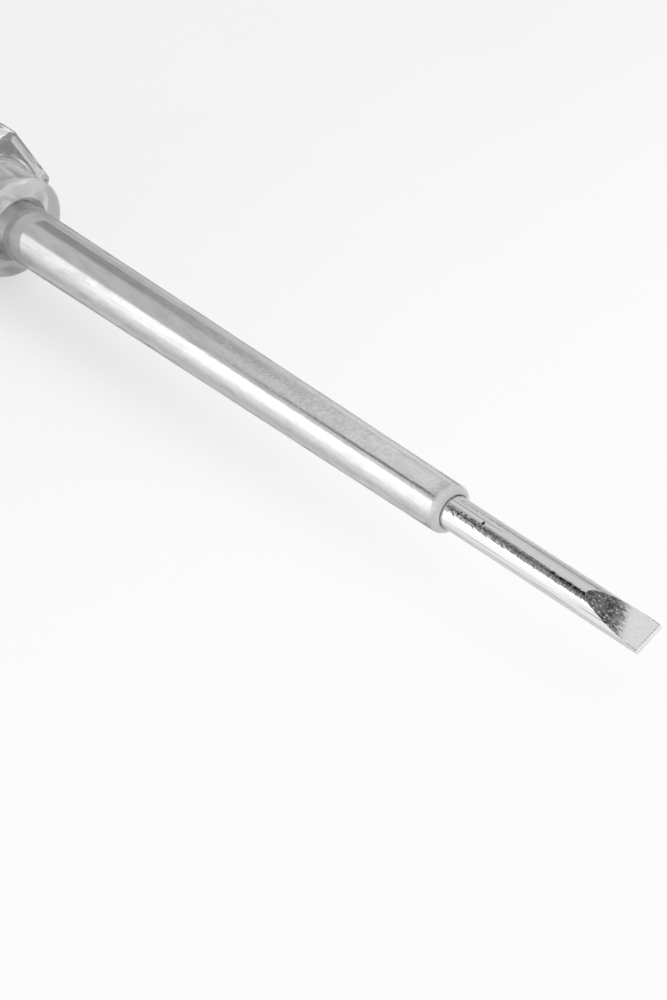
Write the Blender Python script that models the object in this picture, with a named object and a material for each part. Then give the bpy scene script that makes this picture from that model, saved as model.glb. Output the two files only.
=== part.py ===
"""A mains voltage tester screwdriver, built as the pieces that it comes apart into.

The tool lies with its axis along +X, tip first, on the flats of its guard and its rear collar.
Places along the axis are measured from the front face of the handle's nose: towards the tip they are
positive, and a depth is how far behind that face something lies.
"""

import math

import bmesh
import bpy
from mathutils import Vector

MM = 0.001

# Shank
ROD_DIAMETER = 3.0 * MM
TIP_REACH = 80.0 * MM
TIP_THICKNESS = 0.45 * MM
GROUND_LENGTH = 6.5 * MM
SHANK_ROLL = math.radians(25.0)
SHANK_DEPTH = 30.0 * MM
SHANK_CHAMFER = 0.3 * MM
EAR_DEPTH = 14.0 * MM
EAR_LENGTH = 4.0 * MM
EAR_SPAN = 5.0 * MM
EAR_THICKNESS = 1.3 * MM

# Insulating sleeve
SLEEVE_REACH = 57.3 * MM
SLEEVE_FRONT_WALL = 0.6 * MM
SLEEVE_REAR_WALL = 1.0 * MM
SLEEVE_SEAT = 6.0 * MM
SLEEVE_RIM = 0.7 * MM

# Handle
COLLAR_WALL = 2.1 * MM
COLLAR_EDGE = 0.3 * MM
MOUTH_CHAMFER = 0.4 * MM
GUARD_DEPTH = 4.6 * MM
GUARD_WIDTH = 3.2 * MM
GUARD_FILLET = 0.8 * MM
GUARD_EDGE = 0.7 * MM
GUARD_STEP = 1.7 * MM
HEX_CORNER_RISE = 0.9 * MM
WAIST_DEPTH = 13.0 * MM
WAIST_DIAMETER = 10.0 * MM
GRIP_DEPTH = 19.0 * MM
GRIP_WALL = 2.6 * MM
FLUTE_DEPTH = 0.5 * MM
FLUTE_RUNOUT = 3.0 * MM
SHANK_STANDOUT = 1.0 * MM
REAR_COLLAR_LENGTH = 6.0 * MM
REAR_COLLAR_EDGE = 0.6 * MM
REAR_COLLAR_SLOPE = 2.5 * MM

# Resistor
RESISTOR_DIAMETER = 3.6 * MM
RESISTOR_LENGTH = 14.0 * MM
RESISTOR_CAP_WALL = 0.3 * MM
RESISTOR_CAP_LENGTH = 2.6 * MM

# Neon lamp
LAMP_DIAMETER = 4.6 * MM
LAMP_LENGTH = 15.0 * MM
LAMP_GLASS = 0.4 * MM
LAMP_CAP_WALL = 0.25 * MM
LAMP_CAP_LENGTH = 2.8 * MM
LAMP_CAP_END = 0.4 * MM
SEAL_LENGTH = 1.6 * MM
LEAD_DIAMETER = 0.5 * MM
ELECTRODE_DIAMETER = 0.9 * MM
ELECTRODE_OFFSET = 0.75 * MM
ELECTRODE_OVERLAP = 4.0 * MM

# Spring and its seat
SPRING_WIRE = 0.5 * MM
SPRING_LENGTH = 9.6 * MM
SPRING_CURLS = 7
SEAT_THICKNESS = 0.8 * MM
NIPPLE_LENGTH = 1.2 * MM

# Screwed tail
THREAD_PITCH = 1.25 * MM
THREAD_HEIGHT = 0.45 * MM
THREAD_TURNS = 4.5
PLUG_DEPTH = 7.0 * MM
THREAD_LEAD = 0.3 * MM
STUB_STEP = 0.55 * MM
STUB_LENGTH = 4.5 * MM
TOUCH_CAP_STEP = 0.8 * MM
TOUCH_CAP_LENGTH = 7.0 * MM
TOUCH_FACE_DIAMETER = 5.2 * MM
TOUCH_DOME = 2.2 * MM
KNURL_DEPTH = 0.3 * MM
KNURL_EDGE = 0.5 * MM

# Pocket clip
CLIP_THICKNESS = 0.6 * MM
CLIP_BAND_STEP = 0.5 * MM
CLIP_ROOT_WIDTH = 5.0 * MM
CLIP_END_WIDTH = 3.6 * MM
CLIP_RISE = 2.6 * MM
CLIP_BEND = 1.4 * MM
CLIP_LENGTH = 34.0 * MM
CLIP_FLARE_LENGTH = 3.5 * MM
CLIP_FLARE_RISE = 1.1 * MM

# Clearances
MOULD_GAP = 0.1 * MM
CONTACT_GAP = 0.15 * MM
BORE_GAP = 0.35 * MM
SEAT_GAP = 0.15 * MM
THREAD_GAP = 0.15 * MM
CAP_FIT = 0.05 * MM

# Mesh fineness
HANDLE_SEGMENTS = 36
ROUND_SEGMENTS = 24
ARC_STEPS = 4
EASE_STEPS = 4
THREAD_ROWS = 5
CURL_POINTS = 9
HEX_SIDES = 6
SMOOTH_ANGLE = math.radians(35.0)
MERGE_DISTANCE = 0.001 * MM

# Sizes that follow from the ones above
ROD_RADIUS = ROD_DIAMETER / 2
ROD_BORE = ROD_RADIUS + MOULD_GAP
SLEEVE_REAR_RADIUS = ROD_BORE + SLEEVE_REAR_WALL
SOCKET_RADIUS = SLEEVE_REAR_RADIUS + MOULD_GAP
COLLAR_RADIUS = SOCKET_RADIUS + COLLAR_WALL
HEX_FLAT_RADIUS = COLLAR_RADIUS + GUARD_STEP
HEX_CORNER_RADIUS = HEX_FLAT_RADIUS + HEX_CORNER_RISE
AXIS_HEIGHT = HEX_FLAT_RADIUS
LAMP_RADIUS = LAMP_DIAMETER / 2
LAMP_CAP_BORE = LAMP_RADIUS + CAP_FIT
BORE_RADIUS = LAMP_CAP_BORE + LAMP_CAP_WALL + BORE_GAP
GRIP_RADIUS = BORE_RADIUS + GRIP_WALL
RESISTOR_RADIUS = RESISTOR_DIAMETER / 2
SPRING_RADIUS = BORE_RADIUS - BORE_GAP - SPRING_WIRE / 2
NIPPLE_RADIUS = SPRING_RADIUS - SPRING_WIRE / 2 - BORE_GAP
THREAD_ROOT = BORE_RADIUS + CAP_FIT
THREAD_CREST = THREAD_ROOT + THREAD_HEIGHT
STUB_RADIUS = THREAD_ROOT - STUB_STEP
CLIP_BAND_RADIUS = HEX_FLAT_RADIUS - CLIP_BAND_STEP
TOUCH_CAP_RADIUS = CLIP_BAND_RADIUS - TOUCH_CAP_STEP

# Places along the axis, as depths behind the nose face
RESISTOR_DEPTH = SHANK_DEPTH + CONTACT_GAP
LAMP_DEPTH = RESISTOR_DEPTH + RESISTOR_LENGTH + CONTACT_GAP
SPRING_DEPTH = LAMP_DEPTH + LAMP_LENGTH + CONTACT_GAP
SEAT_DEPTH = SPRING_DEPTH + SPRING_LENGTH + CONTACT_GAP
TAIL_DEPTH = SEAT_DEPTH + SEAT_THICKNESS + CONTACT_GAP
REAR_DEPTH = TAIL_DEPTH + PLUG_DEPTH
CLIP_DEPTH = REAR_DEPTH + CONTACT_GAP
CAP_DEPTH = CLIP_DEPTH + CLIP_THICKNESS + CONTACT_GAP
END_DEPTH = CAP_DEPTH + TOUCH_CAP_LENGTH
NOSE_X = (END_DEPTH - TIP_REACH) / 2


def clear_scene():
    for item in list(bpy.data.objects):
        bpy.data.objects.remove(item, do_unlink=True)


def finish(name, colour, roughness, metallic=0.0, transmission=0.0):
    """A plain material in one finish."""
    material = bpy.data.materials.new(name)
    material.use_nodes = True
    shader = material.node_tree.nodes["Principled BSDF"]
    shader.inputs["Base Color"].default_value = (*colour, 1.0)
    shader.inputs["Roughness"].default_value = roughness
    shader.inputs["Metallic"].default_value = metallic
    shader.inputs["Transmission Weight"].default_value = transmission
    return material


def place(name, data, material, parent, x=0.0, roll=0.0):
    """Puts a mesh or a curve on the tool's axis."""
    item = bpy.data.objects.new(name, data)
    bpy.context.scene.collection.objects.link(item)
    if material:
        data.materials.append(material)
    item.parent = parent
    item.location.x = x
    item.rotation_euler.x = roll
    return item


def to_mesh(name, shape):
    """Turns a closed bmesh into a smooth-shaded mesh that faces outwards."""
    bmesh.ops.remove_doubles(shape, verts=shape.verts, dist=MERGE_DISTANCE)
    bmesh.ops.recalc_face_normals(shape, faces=shape.faces)
    mesh = bpy.data.meshes.new(name)
    shape.to_mesh(mesh)
    shape.free()
    mesh.shade_smooth()
    mesh.set_sharp_from_angle(angle=SMOOTH_ANGLE)
    return mesh


def turned(name, profile, ring=False):
    """A turned piece, from (place along X, radius) points. A ring's points run round its wall."""
    shape = bmesh.new()
    points = [shape.verts.new((along, radius, 0.0)) for along, radius in profile]
    lines = [shape.edges.new(pair) for pair in zip(points, points[1:])]
    if ring:
        lines.append(shape.edges.new((points[-1], points[0])))
    bmesh.ops.spin(
        shape,
        geom=points + lines,
        cent=(0.0, 0.0, 0.0),
        axis=(1.0, 0.0, 0.0),
        angle=math.tau,
        steps=ROUND_SEGMENTS,
    )
    return to_mesh(name, shape)


def lofted(name, sections, ring=False):
    """A skin over sections of equal count. A ring closes on itself, and other ends are capped."""
    shape = bmesh.new()
    loops = [[shape.verts.new(point) for point in section] for section in sections]
    pairs = list(zip(loops, loops[1:]))
    if ring:
        pairs.append((loops[-1], loops[0]))
    for one, other in pairs:
        for k, point in enumerate(one):
            shape.faces.new((one[k - 1], point, other[k], other[k - 1]))
    if not ring:
        shape.faces.new(loops[0])
        shape.faces.new(loops[-1])
    return to_mesh(name, shape)


def section(x, radius_at):
    """A section across the axis, whose radius depends on the angle about it."""
    angles = [math.tau * k / HANDLE_SEGMENTS for k in range(HANDLE_SEGMENTS)]
    return [(x, radius_at(a) * math.cos(a), radius_at(a) * math.sin(a)) for a in angles]


def round_section(x, radius):
    return section(x, lambda angle: radius)


def quarter_arc(x_radius, y_radius, start, end, steps=ARC_STEPS):
    """Offsets along an elliptical arc between two angles."""
    angles = [start + (end - start) * k / steps for k in range(steps + 1)]
    return [(x_radius * math.cos(a), y_radius * math.sin(a)) for a in angles]


def cut(target, cutter, operation="DIFFERENCE"):
    """Takes one hidden shape off a piece, or adds it."""
    cutter.hide_render = True
    cutter.display_type = "WIRE"
    modifier = target.modifiers.new(cutter.name, "BOOLEAN")
    modifier.operation = operation
    modifier.object = cutter


def prism(name, outline, width, parent, roll):
    """An outline in the X-Z plane, extruded to a width about that plane."""
    shape = bmesh.new()
    face = shape.faces.new([shape.verts.new((x, -width / 2, z)) for x, z in outline])
    grown = bmesh.ops.extrude_face_region(shape, geom=[face])
    moved = [item for item in grown["geom"] if isinstance(item, bmesh.types.BMVert)]
    bmesh.ops.translate(shape, verts=moved, vec=(0.0, width, 0.0))
    return place(name, to_mesh(name, shape), None, parent, roll=roll)


def block(name, front, length, span, thickness, parent):
    """A rectangular bar across the shank, behind the nose."""
    half = thickness / 2
    outline = [(-front, -half), (-front - length, -half), (-front - length, half), (-front, half)]
    return prism(name, outline, span, parent, SHANK_ROLL)


def make_shank(axis, steel):
    """The rod, with two ears swaged out of it to hold it in the handle, and a tip ground flat."""
    profile = [
        (TIP_REACH, 0.0),
        (TIP_REACH, ROD_RADIUS),
        (SHANK_CHAMFER - SHANK_DEPTH, ROD_RADIUS),
        (-SHANK_DEPTH, ROD_RADIUS - SHANK_CHAMFER),
        (-SHANK_DEPTH, 0.0),
    ]
    shank = place("shank", turned("shank", profile), steel, axis, roll=SHANK_ROLL)
    ears = block("shank_ears", EAR_DEPTH, EAR_LENGTH, EAR_SPAN, EAR_THICKNESS, axis)
    cut(shank, ears, "UNION")
    slope = (ROD_RADIUS - TIP_THICKNESS / 2) / GROUND_LENGTH
    shoulder = TIP_REACH - GROUND_LENGTH
    for name, side in (("upper_grind", 1.0), ("lower_grind", -1.0)):
        outline = [
            (shoulder - ROD_RADIUS, side * (ROD_RADIUS + slope * ROD_RADIUS)),
            (TIP_REACH + ROD_RADIUS, side * (TIP_THICKNESS / 2 - slope * ROD_RADIUS)),
            (TIP_REACH + ROD_RADIUS, side * ROD_DIAMETER),
            (shoulder - ROD_RADIUS, side * ROD_DIAMETER),
        ]
        cut(shank, prism(name, outline, 2 * ROD_DIAMETER, axis, SHANK_ROLL))


def make_sleeve(axis, plastic):
    """The tapered insulating sleeve, with its rear end seated in the handle's nose."""
    rim = quarter_arc(SLEEVE_RIM, SLEEVE_FRONT_WALL, math.pi / 2, 0.0)
    front = SLEEVE_REACH - SLEEVE_RIM
    profile = [(-SLEEVE_SEAT, ROD_BORE), (-SLEEVE_SEAT, SLEEVE_REAR_RADIUS), (0.0, SLEEVE_REAR_RADIUS)]
    profile += [(front + along, ROD_BORE + out) for along, out in rim]
    place("shank_sleeve", turned("shank_sleeve", profile, ring=True), plastic, axis)


def hex_share(angle):
    """How far a hexagon's edge lies from its centre, as a share of its trimmed corner's radius."""
    side = math.tau / HEX_SIDES
    from_flat = angle % side - side / 2
    return min(HEX_FLAT_RADIUS / math.cos(from_flat), HEX_CORNER_RADIUS) / HEX_CORNER_RADIUS


def handle_section(x, radius, hexness, flute):
    """A section of the handle: round, hexagonal or between, with a flute in the middle of each side."""

    def radius_at(angle):
        dip = (1.0 - math.cos(HEX_SIDES * angle)) / 2
        return radius * (1.0 - hexness * (1.0 - hex_share(angle))) - flute * dip

    return section(x, radius_at)


def eased(start, end, share):
    return start + (end - start) * (1.0 - math.cos(math.pi * share)) / 2


def hex_ring(front, width, edge):
    """Stations along a hexagonal ring with two rounded edges."""
    radius = HEX_CORNER_RADIUS - edge
    lead = quarter_arc(edge, edge, 0.0, math.pi / 2, ARC_STEPS // 2)
    trail = quarter_arc(edge, edge, math.pi / 2, math.pi, ARC_STEPS // 2)
    stations = [(along - front - edge, radius + out, 1.0, 0.0) for along, out in lead]
    stations += [(along - front - width + edge, radius + out, 1.0, 0.0) for along, out in trail]
    return stations


def ease_between(start, end):
    """Stations that carry one station smoothly over into another, which is the last of them."""
    stations = []
    for k in range(1, EASE_STEPS + 1):
        share = k / EASE_STEPS
        x = start[0] + (end[0] - start[0]) * share
        stations.append((x, *(eased(a, b, share) for a, b in zip(start[1:], end[1:]))))
    return stations


def handle_outside():
    """Stations from the nose face back to the rear face: (place, radius, hexness, flute depth)."""
    fillet = quarter_arc(GUARD_FILLET, GUARD_FILLET, -math.pi / 2, -math.pi)
    collar_front = REAR_DEPTH - REAR_COLLAR_LENGTH
    slope_front = collar_front - REAR_COLLAR_SLOPE
    guard = hex_ring(GUARD_DEPTH, GUARD_WIDTH, GUARD_EDGE)
    waist = (-WAIST_DEPTH, WAIST_DIAMETER / 2, 0.0, 0.0)
    grip_front = (-GRIP_DEPTH, GRIP_RADIUS, 0.0, FLUTE_DEPTH)
    grip_rear = (FLUTE_RUNOUT - slope_front, GRIP_RADIUS, 0.0, FLUTE_DEPTH)
    slope_start = (-slope_front, GRIP_RADIUS, 0.0, 0.0)
    rear_collar = hex_ring(collar_front, REAR_COLLAR_LENGTH, REAR_COLLAR_EDGE)
    stations = [(0.0, COLLAR_RADIUS - COLLAR_EDGE, 0.0, 0.0), (-COLLAR_EDGE, COLLAR_RADIUS, 0.0, 0.0)]
    for along, out in fillet:
        stations.append((GUARD_FILLET - GUARD_DEPTH + along, COLLAR_RADIUS + GUARD_FILLET + out, 0.0, 0.0))
    stations += guard
    stations += ease_between(guard[-1], waist)
    stations += ease_between(waist, grip_front)
    stations += [grip_rear]
    stations += ease_between(grip_rear, slope_start)
    stations += ease_between(slope_start, rear_collar[0])
    stations += rear_collar[1:]
    return stations


def thread_radius(x, angle, root, height):
    """A right-handed round thread about the axis."""
    turn = math.tau * x / THREAD_PITCH - angle
    return root + height * (1.0 + math.cos(turn)) / 2


def thread_section(x, root, height):
    return section(x, lambda angle: thread_radius(x, angle, root, height))


def thread_places(front, length):
    """Depths of the sections along a stretch of thread."""
    rows = math.ceil(THREAD_ROWS * length / THREAD_PITCH)
    return [front + length * k / rows for k in range(rows + 1)]


def handle_inside():
    """Sections from the rear face forward: thread, bore, shank bore and the sleeve's socket."""
    thread_front = SEAT_DEPTH + SEAT_THICKNESS
    bore_front = SHANK_DEPTH - SHANK_STANDOUT
    socket_end = SLEEVE_SEAT + MOULD_GAP
    places = thread_places(thread_front, REAR_DEPTH - thread_front)
    sections = [thread_section(-d, THREAD_ROOT + THREAD_GAP, THREAD_HEIGHT) for d in reversed(places)]
    sections += [
        round_section(-thread_front, BORE_RADIUS),
        round_section(-bore_front, BORE_RADIUS),
        round_section(-bore_front, ROD_BORE),
        round_section(-socket_end, ROD_BORE),
        round_section(-socket_end, SOCKET_RADIUS),
        round_section(-MOUTH_CHAMFER, SOCKET_RADIUS),
        round_section(0.0, SOCKET_RADIUS + MOUTH_CHAMFER),
    ]
    return sections


def make_handle(axis, plastic):
    """The clear handle: collar, hexagonal guard, fluted grip and rear collar round one stepped bore."""
    sections = [handle_section(*station) for station in handle_outside()] + handle_inside()
    handle = place("handle_body", lofted("handle_body", sections, ring=True), plastic, axis)
    slot = block(
        "ear_slot",
        EAR_DEPTH - MOULD_GAP,
        EAR_LENGTH + 2 * MOULD_GAP,
        EAR_SPAN + 2 * MOULD_GAP,
        EAR_THICKNESS + 2 * MOULD_GAP,
        axis,
    )
    cut(handle, slot)


def cup(name, bore, wall, length, end):
    """A pressed cap that opens to the rear."""
    radius = bore + wall
    outside = [(0.0, 0.0), (0.0, radius), (-length, radius)]
    inside = [(-length, bore), (-end, bore), (-end, 0.0)]
    return turned(name, outside + inside)


def turn_round(item):
    """Faces a piece the other way along the axis."""
    item.rotation_euler.z = math.pi


def make_resistor(axis, ceramic, plated):
    """A ceramic rod with its film, between two pressed caps."""
    front = RESISTOR_CAP_WALL + CAP_FIT
    core_length = RESISTOR_LENGTH - 2 * front
    profile = [(0.0, 0.0), (0.0, RESISTOR_RADIUS), (-core_length, RESISTOR_RADIUS), (-core_length, 0.0)]
    place("resistor_core", turned("resistor_core", profile), ceramic, axis, -RESISTOR_DEPTH - front)
    bore = RESISTOR_RADIUS + CAP_FIT
    for name, depth in (
        ("resistor_front_cap", RESISTOR_DEPTH),
        ("resistor_rear_cap", RESISTOR_DEPTH + RESISTOR_LENGTH),
    ):
        mesh = cup(name, bore, RESISTOR_CAP_WALL, RESISTOR_CAP_LENGTH, RESISTOR_CAP_WALL)
        cap = place(name, mesh, plated, axis, -depth)
        if depth > RESISTOR_DEPTH:
            turn_round(cap)


def electrode(name):
    """A lead on the axis that steps aside inside the glass into a thicker electrode."""
    lead_start = LAMP_CAP_END + CAP_FIT
    seal_end = lead_start + SEAL_LENGTH
    route = [
        (lead_start, 0.0, LEAD_DIAMETER),
        (seal_end, 0.0, LEAD_DIAMETER),
        (seal_end + ELECTRODE_OFFSET, ELECTRODE_OFFSET, ELECTRODE_DIAMETER),
        ((LAMP_LENGTH + ELECTRODE_OVERLAP) / 2, ELECTRODE_OFFSET, ELECTRODE_DIAMETER),
    ]
    points = [(-depth, aside, 0.0) for depth, aside, _ in route]
    return tube(name, points, ELECTRODE_DIAMETER, [width / ELECTRODE_DIAMETER for _, _, width in route])


def tube(name, points, diameter, widths=None):
    """A round wire along straight stretches between points."""
    curve = bpy.data.curves.new(name, "CURVE")
    curve.dimensions = "3D"
    curve.bevel_depth = diameter / 2
    curve.bevel_resolution = 1
    curve.use_fill_caps = True
    spline = curve.splines.new("POLY")
    spline.points.add(len(points) - 1)
    for k, (x, y, z) in enumerate(points):
        spline.points[k].co = (x, y, z, 1.0)
        spline.points[k].radius = widths[k] if widths else 1.0
    return curve


def make_lamp(axis, glass, plated, nickel):
    """The neon lamp: a glass tube, a bead at each end, two electrodes and two end caps."""
    lead_start = LAMP_CAP_END + CAP_FIT
    length = LAMP_LENGTH - 2 * lead_start
    inside = LAMP_RADIUS - LAMP_GLASS
    wall = [(0.0, inside), (0.0, LAMP_RADIUS), (-length, LAMP_RADIUS), (-length, inside)]
    place("neon_envelope", turned("neon_envelope", wall, ring=True), glass, axis, -LAMP_DEPTH - lead_start)
    bead_radius = inside - CAP_FIT
    bead_bore = LEAD_DIAMETER / 2 + CAP_FIT
    bead = [
        (-lead_start, bead_bore),
        (-lead_start, bead_radius),
        (-lead_start - SEAL_LENGTH, bead_radius),
        (-lead_start - SEAL_LENGTH, bead_bore),
    ]
    for end, depth in (("front", LAMP_DEPTH), ("rear", LAMP_DEPTH + LAMP_LENGTH)):
        cap_name = f"neon_{end}_cap"
        seal_name = f"neon_{end}_seal"
        electrode_name = f"neon_{end}_electrode"
        cap_mesh = cup(cap_name, LAMP_CAP_BORE, LAMP_CAP_WALL, LAMP_CAP_LENGTH, LAMP_CAP_END)
        pieces = [
            place(cap_name, cap_mesh, plated, axis, -depth),
            place(seal_name, turned(seal_name, bead, ring=True), glass, axis, -depth),
            place(electrode_name, electrode(electrode_name), nickel, axis, -depth),
        ]
        if end == "rear":
            for piece in pieces:
                turn_round(piece)


def spring_points():
    """One wire: a straight end, the curls and another straight end."""
    rise = SPRING_LENGTH - 2 * SPRING_WIRE
    steps = SPRING_CURLS * CURL_POINTS
    points = [(0.0, SPRING_RADIUS, 0.0)]
    for k in range(steps + 1):
        turn = math.tau * k / CURL_POINTS
        x = -SPRING_WIRE - rise * k / steps
        points.append((x, SPRING_RADIUS * math.cos(turn), SPRING_RADIUS * math.sin(turn)))
    points.append((-SPRING_LENGTH, SPRING_RADIUS * math.cos(turn), SPRING_RADIUS * math.sin(turn)))
    return points


def least_gap(points, diameter):
    """The least clear distance between stretches of wire that lie over half a curl apart."""
    places = [Vector(point) for point in points]
    apart = CURL_POINTS // 2
    gaps = [
        (one - other).length
        for k, one in enumerate(places)
        for other in places[k + apart :]
    ]
    return min(gaps) - diameter


def make_spring(axis, steel, brass):
    """The contact spring and the disc that seats it."""
    points = spring_points()
    place("contact_spring", tube("contact_spring", points, SPRING_WIRE), steel, axis, -SPRING_DEPTH)
    print(f"least gap between curls of the spring: {least_gap(points, SPRING_WIRE) / MM:.2f} mm")
    seat_radius = BORE_RADIUS - SEAT_GAP
    profile = [
        (NIPPLE_LENGTH, 0.0),
        (NIPPLE_LENGTH, NIPPLE_RADIUS),
        (0.0, NIPPLE_RADIUS),
        (0.0, seat_radius),
        (-SEAT_THICKNESS, seat_radius),
        (-SEAT_THICKNESS, 0.0),
    ]
    place("contact_disc", turned("contact_disc", profile), brass, axis, -SEAT_DEPTH)


def make_tail(axis, brass, plated):
    """The threaded plug that closes the handle, and the knurled cap that is pressed on it."""
    thread_front = TAIL_DEPTH + THREAD_LEAD
    thread_length = THREAD_TURNS * THREAD_PITCH
    runout = THREAD_PITCH / 2
    stub_end = CAP_DEPTH + STUB_LENGTH
    sections = [round_section(-TAIL_DEPTH, THREAD_ROOT - THREAD_LEAD)]
    for depth in thread_places(thread_front, thread_length):
        from_end = min(depth - thread_front, thread_front + thread_length - depth)
        height = THREAD_HEIGHT * min(1.0, from_end / runout)
        sections.append(thread_section(-depth, THREAD_ROOT, height))
    sections += [
        round_section(-CAP_DEPTH - CAP_FIT, THREAD_ROOT),
        round_section(-CAP_DEPTH - CAP_FIT, STUB_RADIUS),
        round_section(-stub_end, STUB_RADIUS),
    ]
    sections = [[(x + REAR_DEPTH, y, z) for x, y, z in loop] for loop in sections]
    place("tail_plug", lofted("tail_plug", sections), brass, axis, -REAR_DEPTH)

    def knurled(x, radius):
        ridges = HANDLE_SEGMENTS // 2
        return section(x, lambda angle: radius - KNURL_DEPTH * (1.0 - math.cos(ridges * angle)) / 2)

    bore = STUB_RADIUS + CAP_FIT
    shoulder = THREAD_ROOT + CAP_FIT
    floor = STUB_LENGTH + CAP_FIT
    dome_front = TOUCH_CAP_LENGTH - TOUCH_DOME
    dome_rise = TOUCH_CAP_RADIUS - KNURL_DEPTH - TOUCH_FACE_DIAMETER / 2
    dome = quarter_arc(TOUCH_DOME, dome_rise, math.pi / 2, math.pi)
    cap = [
        round_section(-floor, bore),
        round_section(-2 * CAP_FIT, bore),
        round_section(-2 * CAP_FIT, shoulder),
        round_section(0.0, shoulder),
        round_section(0.0, TOUCH_CAP_RADIUS - KNURL_DEPTH - KNURL_EDGE),
        knurled(-KNURL_EDGE, TOUCH_CAP_RADIUS),
        knurled(KNURL_EDGE - dome_front, TOUCH_CAP_RADIUS),
    ]
    cap += [round_section(along - dome_front, TOUCH_FACE_DIAMETER / 2 + out) for along, out in dome]
    place("touch_cap", lofted("touch_cap", cap), plated, axis, -CAP_DEPTH)


def clip_path():
    """The arm's middle line from its root: up, round the bend, down to the grip and out again."""
    top = HEX_FLAT_RADIUS + CLIP_RISE - CLIP_BAND_RADIUS
    touch = GRIP_RADIUS - FLUTE_DEPTH / 2 + CONTACT_GAP + CLIP_THICKNESS / 2 - CLIP_BAND_RADIUS
    slope = math.atan2(top - touch, CLIP_LENGTH - CLIP_BEND)
    bend = quarter_arc(CLIP_BEND, CLIP_BEND, math.pi, math.pi / 2 - slope)
    path = [(0.0, CONTACT_GAP)]
    path += [(CLIP_BEND + along, top - CLIP_BEND + out) for along, out in bend]
    path += [(CLIP_LENGTH, touch), (CLIP_LENGTH + CLIP_FLARE_LENGTH, touch + CLIP_FLARE_RISE)]
    return [Vector((x, 0.0, z)) for x, z in path]


def make_clip(axis, steel):
    """The pocket clip: a band held under the touch cap, and an arm that springs about its root."""
    hole = THREAD_CREST + THREAD_GAP
    front_edge = [(0.0, hole), (0.0, CLIP_BAND_RADIUS)]
    rear_edge = [(-CLIP_THICKNESS, CLIP_BAND_RADIUS), (-CLIP_THICKNESS, hole)]
    band = front_edge + rear_edge
    place("clip_band", turned("clip_band", band, ring=True), steel, axis, -CLIP_DEPTH)
    path = clip_path()
    sections = []
    for k, point in enumerate(path):
        ahead = path[min(k + 1, len(path) - 1)]
        behind = path[max(k - 1, 0)]
        along = (ahead - behind).normalized()
        out = Vector((-along.z, 0.0, along.x)) * CLIP_THICKNESS / 2
        share = point.x / path[-1].x
        side = Vector((0.0, CLIP_ROOT_WIDTH + (CLIP_END_WIDTH - CLIP_ROOT_WIDTH) * share, 0.0)) / 2
        sections.append([point + out + side, point - out + side, point - out - side, point + out - side])
    arm = place("clip_arm", lofted("clip_arm", sections), steel, axis, -CLIP_DEPTH - CLIP_THICKNESS / 2)
    arm.location.z = CLIP_BAND_RADIUS


def main():
    clear_scene()
    steel = finish("bright plated steel", (0.62, 0.62, 0.62), 0.25, 1.0)
    spring_steel = finish("spring steel", (0.55, 0.55, 0.55), 0.3, 1.0)
    plated = finish("nickel plate", (0.7, 0.69, 0.66), 0.2, 1.0)
    brass = finish("brass", (0.72, 0.55, 0.28), 0.3, 1.0)
    nickel = finish("nickel wire", (0.45, 0.44, 0.42), 0.4, 1.0)
    clear = finish("clear plastic", (0.93, 0.94, 0.94), 0.06, 0.0, 0.9)
    milky = finish("milky plastic", (0.78, 0.78, 0.78), 0.2, 0.0, 0.4)
    ceramic = finish("resistor film", (0.42, 0.33, 0.24), 0.5)
    glass = finish("lamp glass", (0.96, 0.96, 0.96), 0.02, 0.0, 1.0)
    axis = bpy.data.objects.new("tool_axis", None)
    axis.location = (NOSE_X, 0.0, AXIS_HEIGHT)
    bpy.context.scene.collection.objects.link(axis)
    make_shank(axis, steel)
    make_sleeve(axis, milky)
    make_handle(axis, clear)
    make_resistor(axis, ceramic, plated)
    make_lamp(axis, glass, plated, nickel)
    make_spring(axis, spring_steel, brass)
    make_tail(axis, brass, plated)
    make_clip(axis, spring_steel)


main()
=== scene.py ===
"""The looks of a voltage tester screwdriver: fine shapes, finishes, light and camera round its solids.

The tool lies along +X, tip first. Shapes are made about an axis through the origin, with the front face of
the handle's nose at x = 0, and are then moved to where the frame has them.
"""

import math

import bmesh
import bpy
from mathutils import Matrix, Vector


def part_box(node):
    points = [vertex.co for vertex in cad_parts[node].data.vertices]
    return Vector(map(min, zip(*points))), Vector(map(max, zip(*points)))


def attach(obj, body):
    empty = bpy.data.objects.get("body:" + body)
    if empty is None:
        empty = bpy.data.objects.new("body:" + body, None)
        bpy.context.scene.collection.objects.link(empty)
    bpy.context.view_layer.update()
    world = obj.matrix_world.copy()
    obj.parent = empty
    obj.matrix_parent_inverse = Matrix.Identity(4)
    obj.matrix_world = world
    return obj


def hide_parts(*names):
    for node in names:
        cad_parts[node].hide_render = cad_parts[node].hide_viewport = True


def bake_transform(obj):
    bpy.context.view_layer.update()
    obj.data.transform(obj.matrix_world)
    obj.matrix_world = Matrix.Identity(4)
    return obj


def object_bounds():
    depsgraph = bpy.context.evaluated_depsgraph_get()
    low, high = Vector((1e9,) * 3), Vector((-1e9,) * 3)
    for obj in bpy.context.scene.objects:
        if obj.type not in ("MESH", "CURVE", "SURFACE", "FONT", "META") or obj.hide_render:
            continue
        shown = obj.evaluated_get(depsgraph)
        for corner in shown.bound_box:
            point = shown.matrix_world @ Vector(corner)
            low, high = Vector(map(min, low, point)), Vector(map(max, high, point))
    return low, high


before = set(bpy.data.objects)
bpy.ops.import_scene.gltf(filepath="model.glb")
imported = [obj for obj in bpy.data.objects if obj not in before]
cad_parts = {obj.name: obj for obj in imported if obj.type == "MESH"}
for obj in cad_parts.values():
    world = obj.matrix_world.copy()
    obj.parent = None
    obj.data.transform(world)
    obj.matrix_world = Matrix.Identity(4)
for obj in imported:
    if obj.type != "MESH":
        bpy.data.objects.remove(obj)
CAD_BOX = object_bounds()

MM = 0.001

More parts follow.
